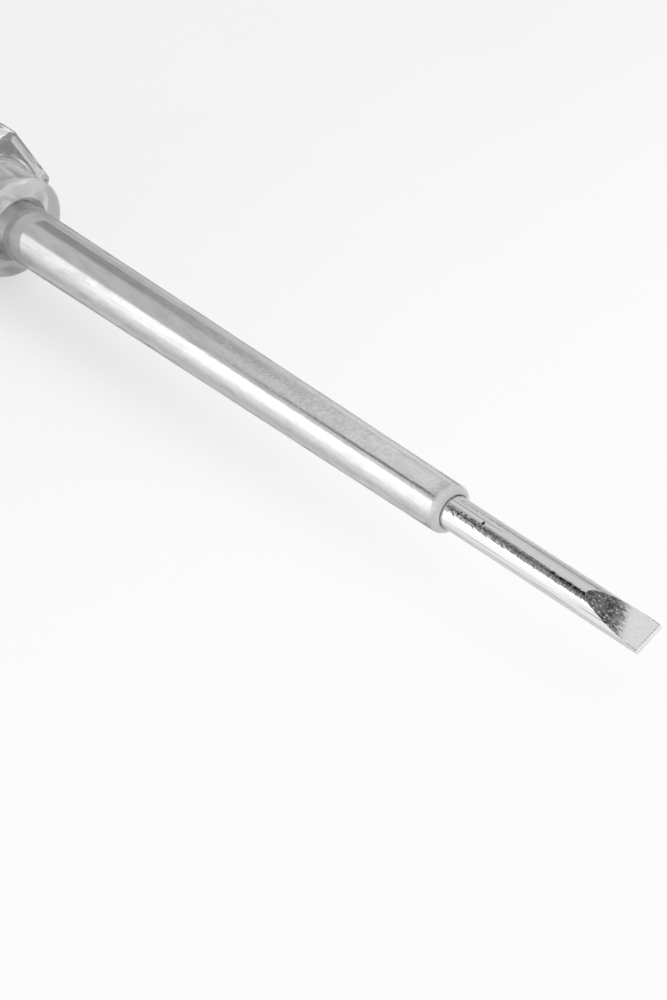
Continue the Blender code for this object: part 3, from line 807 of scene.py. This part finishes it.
def round_wire(name, points, radii):
    """A round wire through points in the X-Y plane, with its radius at each."""
    angles = [math.tau * k / WIRE_SIDES for k in range(WIRE_SIDES)]
    up = Vector((0.0, 0.0, 1.0))
    sections = []
    for k, (x, y) in enumerate(points):
        ahead = points[min(k + 1, len(points) - 1)]
        behind = points[max(k - 1, 0)]
        along = Vector((ahead[0] - behind[0], ahead[1] - behind[1], 0.0)).normalized()
        side = Vector((-along.y, along.x, 0.0))
        middle = Vector((x, y, 0.0))
        spokes = [side * math.cos(a) + up * math.sin(a) for a in angles]
        sections.append([middle + radii[k] * spoke for spoke in spokes])
    return lofted(name, sections)


def electrode():
    """A lead through the bead that bends off the axis and thickens into a round-ended rod."""
    start = LAMP_CAP_END + CAP_FIT
    seal_end = start + SEAL_LENGTH
    reach = (LAMP_END - LAMP_DEPTH + ELECTRODE_OVERLAP) / 2
    points = [(-start, 0.0), (-seal_end, 0.0)]
    radii = [LEAD_DIAMETER / 2] * 2
    for k in range(1, BEND_STEPS + 1):
        share = k / BEND_STEPS
        points.append((-seal_end - ELECTRODE_OFFSET * share, eased(0.0, ELECTRODE_OFFSET, share)))
        radii.append(eased(LEAD_DIAMETER, ELECTRODE_DIAMETER, share) / 2)
    rod = ELECTRODE_DIAMETER / 2
    for x, radius in arc((rod - reach, 0.0), (rod, rod), 90.0, 170.0, TIP_STEPS):
        points.append((x, ELECTRODE_OFFSET))
        radii.append(radius)
    return round_wire("electrode", points, radii)


def make_lamp(glass, plated, nickel):
    """The neon lamp: a glass tube and, at each end, a bead, an electrode and a cap."""
    start = LAMP_CAP_END + CAP_FIT
    length = LAMP_END - LAMP_DEPTH - 2 * start
    inside = LAMP_RADIUS - LAMP_GLASS
    half_glass = LAMP_GLASS / 2
    wall = arc((-half_glass, LAMP_RADIUS - half_glass), (half_glass, half_glass), -90.0, 90.0)
    wall += arc((half_glass - length, LAMP_RADIUS - half_glass), (half_glass, half_glass), 90.0, 270.0)
    tube = painted(turned("lamp_tube", wall, True), glass)
    envelope = shown("lamp_tube", tube, facing(LAMP_DEPTH + start))
    made = [(envelope, "lamp_glass", "neon_envelope")]
    bead_radius = inside - CAP_FIT
    bead_bore = LEAD_DIAMETER / 2 + CAP_FIT
    bead = [(-start, bead_bore), (-start, bead_radius)]
    half_seal = SEAL_LENGTH / 2
    bead += arc((-start - half_seal, bead_bore), (half_seal, bead_radius - bead_bore), 90.0, 180.0)
    for end, depth in (("front", LAMP_DEPTH), ("rear", LAMP_END)):
        place = facing(depth, end == "rear")
        cap = cup("ferrule", LAMP_RADIUS + CAP_FIT, LAMP_CAP_WALL, LAMP_CAP_LENGTH, LAMP_CAP_END)
        pieces = (
            (f"lamp_{end}_ferrule", cap, plated, "nickel_plate", f"neon_{end}_cap"),
            (f"lamp_{end}_bead", turned("bead", bead, True), glass, "lamp_glass", f"neon_{end}_seal"),
            (f"lamp_{end}_electrode", electrode(), nickel, "nickel_wire", f"neon_{end}_electrode"),
        )
        for name, mesh, material, slot, node in pieces:
            made.append((shown(name, painted(mesh, material), place), slot, node))
    return made


def spring_recipe():
    """A wire wound into a helix along the X axis."""
    names = ("Length", "Radius", "Curls", "Wire")
    recipe = Recipe("spring", **dict.fromkeys(names, "NodeSocketFloat"), Points="NodeSocketInt")
    line = recipe.node("GeometryNodeCurvePrimitiveLine")
    dense = recipe.node("GeometryNodeResampleCurve", None, line, Count=recipe.given("Points"))
    share = recipe.node("GeometryNodeSplineParameter")
    turn = share * recipe.given("Curls") * math.tau
    radius = recipe.given("Radius")
    back = share * recipe.given("Length") * -1.0
    bend = recipe.node("ShaderNodeCombineXYZ", None, back, radius * turn.cos(), radius * turn.sin())
    helix = recipe.node("GeometryNodeSetPosition", None, dense, Position=bend)
    section = recipe.node("GeometryNodeCurvePrimitiveCircle", None, WIRE_SIDES, Radius=recipe.given("Wire"))
    solid = recipe.node("GeometryNodeCurveToMesh", None, helix, section, Fill_Caps=True)
    return recipe.finish(solid)


def make_spring(steel):
    holder = linked("spring_line", bpy.data.meshes.new("spring_line"))
    length = SPRING_END - SPRING_DEPTH - SPRING_WIRE
    mesh = spring_recipe().run(
        holder,
        Length=length,
        Radius=SPRING_RADIUS,
        Curls=float(SPRING_CURLS),
        Wire=SPRING_WIRE / 2,
        Points=SPRING_CURLS * CURL_POINTS,
        Material=steel,
    )
    return shown("contact_coil", mesh, facing(SPRING_DEPTH + SPRING_WIRE / 2))


def make_seat(brass):
    """The spring's disc with the nipple that centres it."""
    edge = PRESSED_EDGE
    profile = [(NIPPLE_LENGTH, 0.0), (NIPPLE_LENGTH, NIPPLE_RADIUS - 2 * edge)]
    profile += [(NIPPLE_LENGTH - 2 * edge, NIPPLE_RADIUS), (0.0, NIPPLE_RADIUS), (0.0, SEAT_RADIUS - edge)]
    profile += front_round(0.0, SEAT_RADIUS, edge)
    profile += [(-SEAT_THICKNESS, SEAT_RADIUS), (-SEAT_THICKNESS, 0.0)]
    mesh = painted(turned("spring_cup", profile), brass)
    return shown("spring_cup", mesh, facing(SEAT_END - SEAT_THICKNESS))


def make_plug(recipe, brass):
    """The threaded plug, and the stub that the touch cap is pressed onto."""
    front = TAIL_DEPTH + THREAD_LEAD
    length = THREAD_TURNS * THREAD_PITCH
    rows = math.ceil(THREAD_ROWS * THREAD_TURNS)
    stations = plain([(-TAIL_DEPTH, 0.0), (-TAIL_DEPTH, THREAD_ROOT - THREAD_LEAD)])
    for k in range(rows + 1):
        into = length * k / rows
        fade = min(1.0, min(into, length - into) / (THREAD_PITCH / 2))
        stations.append((-front - into, THREAD_ROOT, {"thread": THREAD_HEIGHT * fade}))
    shoulder = CAP_DEPTH + CAP_FIT
    stub = [(-shoulder, THREAD_ROOT), (-shoulder, STUB_RADIUS), (-STUB_END, STUB_RADIUS), (-STUB_END, 0.0)]
    stations += plain(stub)
    mesh = relief(recipe, blank("plug_blank", stations, False, ROUND_SIDES), brass)
    return shown("threaded_plug", mesh)


def make_touch_cap(recipe, plated):
    """The knurled cap with a domed end, hollow where the plug's stub goes in."""
    length = END_DEPTH - CAP_DEPTH
    dome_front = length - TOUCH_DOME
    full = TOUCH_CAP_RADIUS - KNURL_DEPTH
    dome_rise = full - TOUCH_FACE_RADIUS
    bore = STUB_RADIUS + CAP_FIT
    floor = STUB_END - CAP_DEPTH + CAP_FIT
    shoulder = THREAD_ROOT + CAP_FIT
    lip = 2 * CAP_FIT
    hollow = [(-floor, 0.0), (-floor, bore), (-lip, bore), (-lip, shoulder), (0.0, shoulder)]
    front = [(0.0, full - KNURL_EDGE)]
    front += arc((-KNURL_EDGE, full - KNURL_EDGE), (KNURL_EDGE, KNURL_EDGE), 10.0, 90.0)
    stations = plain(hollow + front)
    run = dome_front - 2 * KNURL_EDGE
    for k in range(KNURL_STEPS + 1):
        depth = KNURL_EDGE + run * k / KNURL_STEPS
        rise = min(1.0, min(k, KNURL_STEPS - k) / KNURL_FADE)
        stations.append((-depth, full + KNURL_DEPTH * rise, {"knurl": KNURL_DEPTH * rise}))
    dome = arc((-dome_front, TOUCH_FACE_RADIUS), (TOUCH_DOME, dome_rise), 90.0, 180.0, DOME_STEPS)
    stations += plain(dome + [(-length, 0.0)])
    mesh = relief(recipe, blank("cap_blank", stations, False, KNURL_SIDES), plated)
    return shown("touch_knob", mesh, facing(CAP_DEPTH))


def clip_line():
    """The clip's middle line, (place, height) from its root: up, round, down to the grip and out."""
    top = HEX_FLAT_RADIUS + CLIP_RISE
    touch = GRIP_RADIUS - FLUTE_DEPTH / 2 + CLIP_REST_GAP + CLIP_THICKNESS / 2
    slope = math.degrees(math.atan2(top - touch, CLIP_LENGTH - CLIP_BEND))
    line = [(0.0, CLIP_BAND_RADIUS - CLIP_ROOT_LAP), (0.0, CLIP_BAND_RADIUS)]
    line += arc((CLIP_BEND, top - CLIP_BEND), (CLIP_BEND, CLIP_BEND), 180.0, 90.0 - slope, RIM_STEPS)
    start = line[-1]
    straight = [k / CLIP_STEPS for k in range(1, CLIP_STEPS)]
    line += [(start[0] + (CLIP_LENGTH - start[0]) * s, start[1] + (touch - start[1]) * s) for s in straight]
    flare = [k / CLIP_STEPS for k in range(CLIP_STEPS + 1)]
    line += [(CLIP_LENGTH + CLIP_FLARE_LENGTH * s, touch + CLIP_FLARE_RISE * s * s) for s in flare]
    return line


def strip_section(point, along, width):
    """A rounded strip's section across its line."""
    out = Vector((-along.z, 0.0, along.x))
    half, thick = width / 2, CLIP_THICKNESS / 2
    points = []
    for side, up, start in ((1, 1, 0.0), (-1, 1, 90.0), (-1, -1, 180.0), (1, -1, 270.0)):
        corner = (side * (half - CLIP_EDGE), up * (thick - CLIP_EDGE))
        points += arc(corner, (CLIP_EDGE, CLIP_EDGE), start, start + 90.0, EDGE_STEPS)
    return [point + Vector((0.0, y, 0.0)) + out * z for y, z in points]


def make_clip(steel):
    """One strip of spring steel: a band round the plug and the arm that rises from it."""
    edge = CLIP_EDGE
    band = front_round(0.0, CLIP_BAND_RADIUS, edge)
    band += rear_round(-CLIP_THICKNESS, CLIP_BAND_RADIUS, edge)
    band += [(-CLIP_THICKNESS, CLIP_HOLE), (0.0, CLIP_HOLE)]
    ring = shown("clip", painted(turned("clip", band, True), steel), facing(CLIP_DEPTH))
    line = [Vector((x, 0.0, z)) for x, z in clip_line()]
    sections = []
    for k, point in enumerate(line):
        along = (line[min(k + 1, len(line) - 1)] - line[max(k - 1, 0)]).normalized()
        share = point.x / line[-1].x
        width = CLIP_ROOT_WIDTH + (CLIP_END_WIDTH - CLIP_ROOT_WIDTH) * share
        half = width / 2
        from_end = line[-1].x - point.x
        if from_end < half:
            width = 2 * math.sqrt(max(edge * edge, half ** 2 - (half - from_end) ** 2)) + 2 * edge
        sections.append(strip_section(point, along, width))
    strip = painted(lofted("clip_strip", sections), steel)
    arm = shown("clip_strip", strip, facing(CLIP_DEPTH + CLIP_THICKNESS / 2))
    union = ring.modifiers.new("union", "BOOLEAN")
    union.operation = "UNION"
    union.object = arm
    graph = bpy.context.evaluated_depsgraph_get()
    joined = bpy.data.meshes.new_from_object(ring.evaluated_get(graph), depsgraph=graph)
    ring.modifiers.remove(union)
    bpy.data.objects.remove(arm)
    bpy.data.objects.remove(ring)
    return shown("pocket_clip", joined, Matrix.Identity(4))


# Finishes

def plated_steel():
    """Bright plating over drawn rod, with scores along it, pits and one nick just ahead of the sleeve."""
    f = Finish("plated steel")
    x, y, z = f.along()
    bare = x.ramp(SLEEVE_REACH - 2.0 * MM, SLEEVE_REACH)
    rough_drawn = x.ramp(5.0 * MM, 30.0 * MM, 0.1, 0.3) + 0.7 * bare
    lines = f.polar_grain(12.0 * MM, 0.10 * MM) * bare
    scores = f.polar_grain(14.0 * MM, 0.12 * MM, 1.0).ramp(0.60, 0.66) * bare
    pebble = f.grain((0.45 * MM, 0.25 * MM, 0.25 * MM), 1.5)
    pits = f.grain((0.16 * MM, 0.07 * MM, 0.07 * MM), 2.0).ramp(0.74, 0.79) * bare
    distance = {"operation": "DISTANCE"}
    from_nick = f.node("ShaderNodeVectorMath", distance, f.point, PLACE @ NICK, out="Value")
    nick = 1.0 - (from_nick + (pebble - 0.5) * (0.2 * MM)).ramp(0.10 * MM, 0.20 * MM)
    colour = f.between(lines.ramp(0.35, 0.65).most(1.0 - bare), grey(0.84), grey(0.95))
    colour = f.between(scores * 0.5 + pits * 0.8, colour, grey(0.25))
    colour = f.between(nick, colour, grey(0.03))
    rough = 0.05 + 0.04 * bare + 0.08 * lines.ramp(0.4, 0.7) + 0.15 * scores + 0.3 * pits
    relief_height = lines * 0.1 + pebble * rough_drawn - 0.2 * scores - 0.5 * pits - 3.0 * nick
    normal = f.bump(relief_height, 0.014 * MM)
    return f.shade(Base_Color=colour, Roughness=rough, Metallic=1.0, Normal=normal)


def ground_steel():
    """The tip's faces: pressed rough and dark where they start, rubbed bright towards the end."""
    f = Finish("ground steel")
    x, y, z = f.along()
    across = y * math.cos(SHANK_ROLL) + z * math.sin(SHANK_ROLL)
    from_tip = TIP_REACH - x - 0.5 * across
    streaks = f.grain((1.3 * MM, 0.10 * MM, 0.10 * MM), 4.0)
    flecks = f.grain((0.26 * MM, 0.14 * MM, 0.14 * MM), 4.0, 0.7)
    scale = f.grain((0.6 * MM, 0.4 * MM, 0.4 * MM), 5.0, 0.65)
    rough_part = (from_tip + (streaks - 0.5) * (3.4 * MM)).ramp(2.1 * MM, 3.5 * MM)
    dark = f.between(scale.ramp(0.35, 0.7), grey(0.06), grey(0.26))
    dark = f.between(flecks.ramp(0.55, 0.66), dark, grey(0.85))
    pale = f.between(streaks.ramp(0.3, 0.7), grey(0.78), grey(0.90))
    colour = f.between(rough_part, pale, dark)
    tip_line = (TIP_REACH - x).ramp(0.06 * MM, 0.20 * MM, 1.0, 0.0)
    side_line = abs(across).ramp(1.32 * MM, 1.42 * MM)
    worn_edge = tip_line.most(side_line) * flecks.ramp(0.42, 0.52)
    colour = f.between(worn_edge * 0.8, colour, grey(0.20))
    rough = 0.36 + 0.10 * rough_part - 0.1 * streaks
    normal = f.bump(streaks * 0.2 + rough_part * (scale + flecks * 0.5), 0.04 * MM)
    return f.shade(Base_Color=colour, Roughness=rough, Metallic=1.0, Normal=normal)


def milky_plastic():
    """Clear tubing with a slight haze, matt where it is cut off; the cut end has painted light below and
    painted shade above.
    """
    f = Finish("milky sleeve plastic")
    scuffs = f.polar_grain(6.0 * MM, 0.12 * MM)
    cloud = f.grain((3.0 * MM,) * 3)
    specks = f.grain((0.3 * MM, 0.14 * MM, 0.14 * MM), 2.0).ramp(0.74, 0.80)
    smudges = f.grain((2.4 * MM, 0.7 * MM, 0.7 * MM), 4.0).ramp(0.48, 0.62)
    waves = f.grain((4.0 * MM, 1.3 * MM, 1.3 * MM), 2.0)
    colour = f.between(cloud.ramp(0.3, 0.7), grey(0.97), grey(0.99))
    colour = f.between(specks, colour, grey(0.60))
    colour = f.between(smudges * 0.7, colour, grey(0.78))
    rough = 0.04 + 0.03 * scuffs.ramp(0.5, 0.75) + 0.02 * cloud
    normal = f.bump(scuffs * 0.03 + waves, 0.024 * MM)
    tube = f.clear(colour, rough, SLEEVE_BENDING, normal)
    x, y, z = f.along()
    cut = x.ramp(SLEEVE_REACH - 0.95 * MM, SLEEVE_REACH - 0.35 * MM)
    # Painted light and shade: the cut end is paler low down, where the floor lights it, and darker at the
    # top
    cut_end_painted_light = f.between(z.ramp(-0.5 * MM, 1.8 * MM), grey(CUT_PAINTED_LIGHT), grey(CUT_PAINTED_SHADE))
    pale = f.between(cloud, grey(MATT_DULL), grey(MATT_BRIGHT))
    pale = f.between(cut, pale, cut_end_painted_light)
    matt = f.principled(Base_Color=pale, Roughness=0.45, Normal=normal)
    haze = SLEEVE_HAZE + (CUT_HAZE - SLEEVE_HAZE) * cut + 0.06 * (cloud - 0.5)
    return f.mix(haze, tube, matt)


def clear_plastic():
    """Clear moulded plastic with flow lines, fine scuffs and a mould seam, hazy towards the nose."""
    f = Finish("clear handle plastic")
    x, y, z = f.along()
    flow = f.grain((4.0 * MM, 1.6 * MM, 1.6 * MM), 2.0)
    scuffs = f.grain((1.5 * MM, 0.08 * MM, 0.08 * MM), 3.0)
    seam = 1.0 - abs(z).ramp(0.03 * MM, 0.09 * MM)
    colour = f.between(flow.ramp(0.3, 0.7), grey(0.90), grey(0.96))
    rough = 0.02 + 0.08 * scuffs.ramp(0.58, 0.78)
    normal = f.bump(flow * 1.5 + 0.08 * scuffs + 0.8 * seam, 0.02 * MM)
    clear = f.clear(colour, rough, HANDLE_BENDING, normal)
    pale = f.between(flow, grey(MATT_DULL), grey(MATT_BRIGHT))
    matt = f.principled(Base_Color=pale, Roughness=0.4, Normal=normal)
    nose = x.ramp(-GUARD_DEPTH - GUARD_WIDTH, -GUARD_DEPTH)
    face = x.ramp(-2.0 * COLLAR_EDGE, -COLLAR_EDGE)
    haze = HANDLE_HAZE + (NOSE_HAZE - HANDLE_HAZE) * nose + (FACE_HAZE - NOSE_HAZE) * face
    haze = haze + 0.08 * scuffs.ramp(0.58, 0.78)
    return f.mix(haze, clear, matt)


def resistor_film():
    """Tan lacquer with four colour bands."""
    f = Finish("resistor lacquer")
    x, y, z = f.along()
    mottle = f.grain((0.5 * MM,) * 3)
    colour = f.between(mottle.ramp(0.3, 0.7), (0.50, 0.36, 0.22, 1.0), (0.60, 0.45, 0.29, 1.0))
    for depth, band in RESISTOR_BANDS:
        edge = abs(x + RESISTOR_DEPTH + depth) + (mottle - 0.5) * (0.08 * MM)
        inside = 1.0 - edge.ramp(BAND_WIDTH / 2 - 0.05 * MM, BAND_WIDTH / 2 + 0.05 * MM)
        colour = f.between(inside, colour, band)
    rough = 0.28 + 0.12 * mottle
    return f.shade(Base_Color=colour, Roughness=rough, Coat_Weight=0.4, Normal=f.bump(mottle, 0.01 * MM))


def turned_metal(name, base, bright, roughness):
    """Plated or bare metal with fine marks round the axis."""
    f = Finish(name)
    rings = f.grain((0.03 * MM, 4.0 * MM, 4.0 * MM), 3.0)
    cloud = f.grain((0.9 * MM,) * 3)
    wear = cloud.ramp(0.5, 0.75)
    colour = f.between(rings.ramp(0.3, 0.7) * 0.5 + wear * 0.5, base, bright)
    rough = roughness + 0.12 * wear + 0.08 * rings
    normal = f.bump(rings + cloud * 0.3, 0.004 * MM)
    return f.shade(Base_Color=colour, Roughness=rough, Metallic=1.0, Normal=normal)


def spring_steel():
    """Bright wire and strip, brushed along the tool."""
    f = Finish("spring steel")
    brushed = f.grain((3.0 * MM, 0.05 * MM, 0.05 * MM), 4.0)
    cloud = f.grain((1.5 * MM,) * 3)
    colour = f.between(brushed.ramp(0.3, 0.7), grey(0.50), grey(0.68))
    rough = 0.2 + 0.15 * brushed + 0.08 * cloud
    normal = f.bump(brushed + cloud * 0.4, 0.005 * MM)
    return f.shade(Base_Color=colour, Roughness=rough, Metallic=1.0, Normal=normal)


def lamp_glass():
    """Clear glass with a faint film on it."""
    f = Finish("lamp glass")
    film = f.grain((2.0 * MM,) * 3)
    colour = f.between(film, grey(0.94), grey(0.99))
    rough = 0.01 + 0.04 * film.ramp(0.55, 0.8)
    return f.end(f.clear(colour, rough, GLASS_BENDING, f.bump(film, 0.004 * MM)))


# Stage

def make_floor():
    """A pale sheet with a faint shadow, nearly white to the camera, with painted shade and painted light
    that show only in the tool.
    """
    f = Finish("pale floor")
    tone = f.grain((60.0 * MM,) * 3)
    tooth = f.grain((0.6 * MM,) * 3)
    colour = f.between(tone.ramp(0.3, 0.7), grey(0.86), grey(0.89))
    mirrored = f.rays("Glossy").most(f.rays("Transmission"))
    x, y, z = f.along()
    # Painted shade: seen in or through the tool, the paper behind it is painted darker, most of all by the
    # nose, as the handle's shadow
    behind = y.ramp(5.0 * MM, 14.0 * MM) * x.ramp(-14.0 * MM, 60.0 * MM, FLOOR_PAINTED_SHADE, 0.0)
    colour = f.between(mirrored * behind, colour, grey(0.0))
    paper = f.principled(Base_Color=colour, Roughness=0.7, Normal=f.bump(tooth, 0.01 * MM))
    # Painted light: the floor in front shows in the sleeve further towards the tip, by a slant, and glows
    # brighter than white there
    in_front = y * -1.0
    shows_at = x + in_front * MIRROR_SLANT
    painted_light_reach = shows_at.ramp(6.0 * MM, 18.0 * MM) * shows_at.ramp(58.0 * MM, 63.0 * MM, 1.0, 0.3)
    painted_light_lift = mirrored * in_front.ramp(8.0 * MM, 18.0 * MM) * painted_light_reach
    glow_with_painted_light = f.between(painted_light_lift, grey(FLOOR_LEVEL), grey(FLOOR_PAINTED_LIGHT))
    glow = f.node("ShaderNodeEmission", None, glow_with_painted_light)
    clear_of_tool = in_front.ramp(3.0 * MM, 22.0 * MM)
    # Painted shade: less of the floor glows by the nose, so it and its shadow are darker there than towards
    # the tip
    glow_and_painted_shade = x.ramp(-15.0 * MM, 60.0 * MM, *FLOOR_GLOW_AND_PAINTED_SHADE)
    seen = (f.rays("Camera") * glow_and_painted_shade).most(mirrored * clear_of_tool)
    material = f.mix(seen, paper, glow)
    shape = bmesh.new()
    bmesh.ops.create_grid(shape, x_segments=1, y_segments=1, size=FLOOR_SIZE)
    mesh = bpy.data.meshes.new("floor")
    shape.to_mesh(mesh)
    shape.free()
    floor = linked("floor", painted(mesh, material))
    floor.location.z = CAD_BOX[0].z - FLOOR_GAP


def within(value, low, high, soft):
    """One between two values and zero outside, with soft edges."""
    return value.ramp(low - soft, low + soft) * (1.0 - value.ramp(high - soft, high + soft))


def make_world():
    """A studio of long panels, each over a range of angles about the tool and of directions along it."""
    world = bpy.data.worlds.new("studio")
    world.use_nodes = True
    bpy.context.scene.world = world
    board = Board(world.node_tree)
    direction = board.node("ShaderNodeTexCoord", out="Generated")
    x, y, z = board.split(direction)
    angle = z.angle_from(y * -1.0)
    level = STUDIO_LEVEL
    for bright, (low, high, turn_soft), (start, end, soft) in PANELS:
        inside = within(angle, math.radians(low), math.radians(high), math.radians(turn_soft))
        inside = inside * within(x, start, end, soft)
        level = level + inside * (bright - level)
    level = level + board.rays("Camera") * (BACKDROP_LEVEL - level)
    light = board.node("ShaderNodeBackground", Strength=level)
    board.node("ShaderNodeOutputWorld", None, light)


def make_softbox():
    """Soft light from above that the tool does not mirror."""
    data = bpy.data.lights.new("overhead", "AREA")
    data.size = SOFTBOX_SIZE
    data.energy = SOFTBOX_WATTS
    item = linked("overhead", data)
    item.location = SOFTBOX_PLACE
    item.rotation_euler = (SOFTBOX_AIM - SOFTBOX_PLACE).to_track_quat("-Z", "Y").to_euler()
    item.visible_camera = False
    item.visible_glossy = False
    item.visible_transmission = False


def make_camera():
    back = Vector((
        math.sin(CAMERA_AZIMUTH) * math.cos(CAMERA_ELEVATION),
        -math.cos(CAMERA_AZIMUTH) * math.cos(CAMERA_ELEVATION),
        math.sin(CAMERA_ELEVATION),
    ))
    data = bpy.data.cameras.new("camera")
    data.lens = CAMERA_LENS
    data.clip_start = CAMERA_NEAR
    item = linked("camera", data)
    item.location = CAMERA_AIM + back * CAMERA_DISTANCE
    item.rotation_euler = (-back).to_track_quat("-Z", "Y").to_euler()
    bpy.context.scene.camera = item


def dress(item, body, slot, *nodes):
    """Puts a piece on its body, in the place of its solids."""
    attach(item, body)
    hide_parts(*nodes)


def main():
    bpy.context.scene.view_settings.view_transform = "Standard"
    steel = plated_steel()
    nickel = turned_metal("nickel plate", (0.58, 0.56, 0.52, 1.0), (0.80, 0.78, 0.74, 1.0), 0.14)
    brass = turned_metal("brass", (0.56, 0.40, 0.16, 1.0), (0.80, 0.62, 0.30, 1.0), 0.22)
    electrode_metal = turned_metal("electrode nickel", grey(0.22), grey(0.42), 0.4)
    strip = spring_steel()
    glass = lamp_glass()
    recipe = relief_recipe()
    dress(make_shank(steel, ground_steel()), "handle", "plated_steel", "shank")
    dress(make_sleeve(milky_plastic()), "handle", "milky_plastic", "shank_sleeve")
    dress(make_handle(recipe, clear_plastic()), "handle", "clear_plastic", "handle_body")
    stack = make_resistor(resistor_film(), nickel) + make_lamp(glass, nickel, electrode_metal)
    for item, slot, node in stack:
        dress(item, "handle", slot, node)
    dress(make_seat(brass), "spring_seat", "brass", "contact_disc")
    dress(make_plug(recipe, brass), "tail", "brass", "tail_plug")
    dress(make_touch_cap(recipe, nickel), "tail", "nickel_plate", "touch_cap")
    coil = make_spring(strip)
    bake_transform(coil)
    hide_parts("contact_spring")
    clip = make_clip(strip)
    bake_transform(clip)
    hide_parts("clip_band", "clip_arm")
    make_floor()
    make_world()
    make_softbox()
    make_camera()


main()
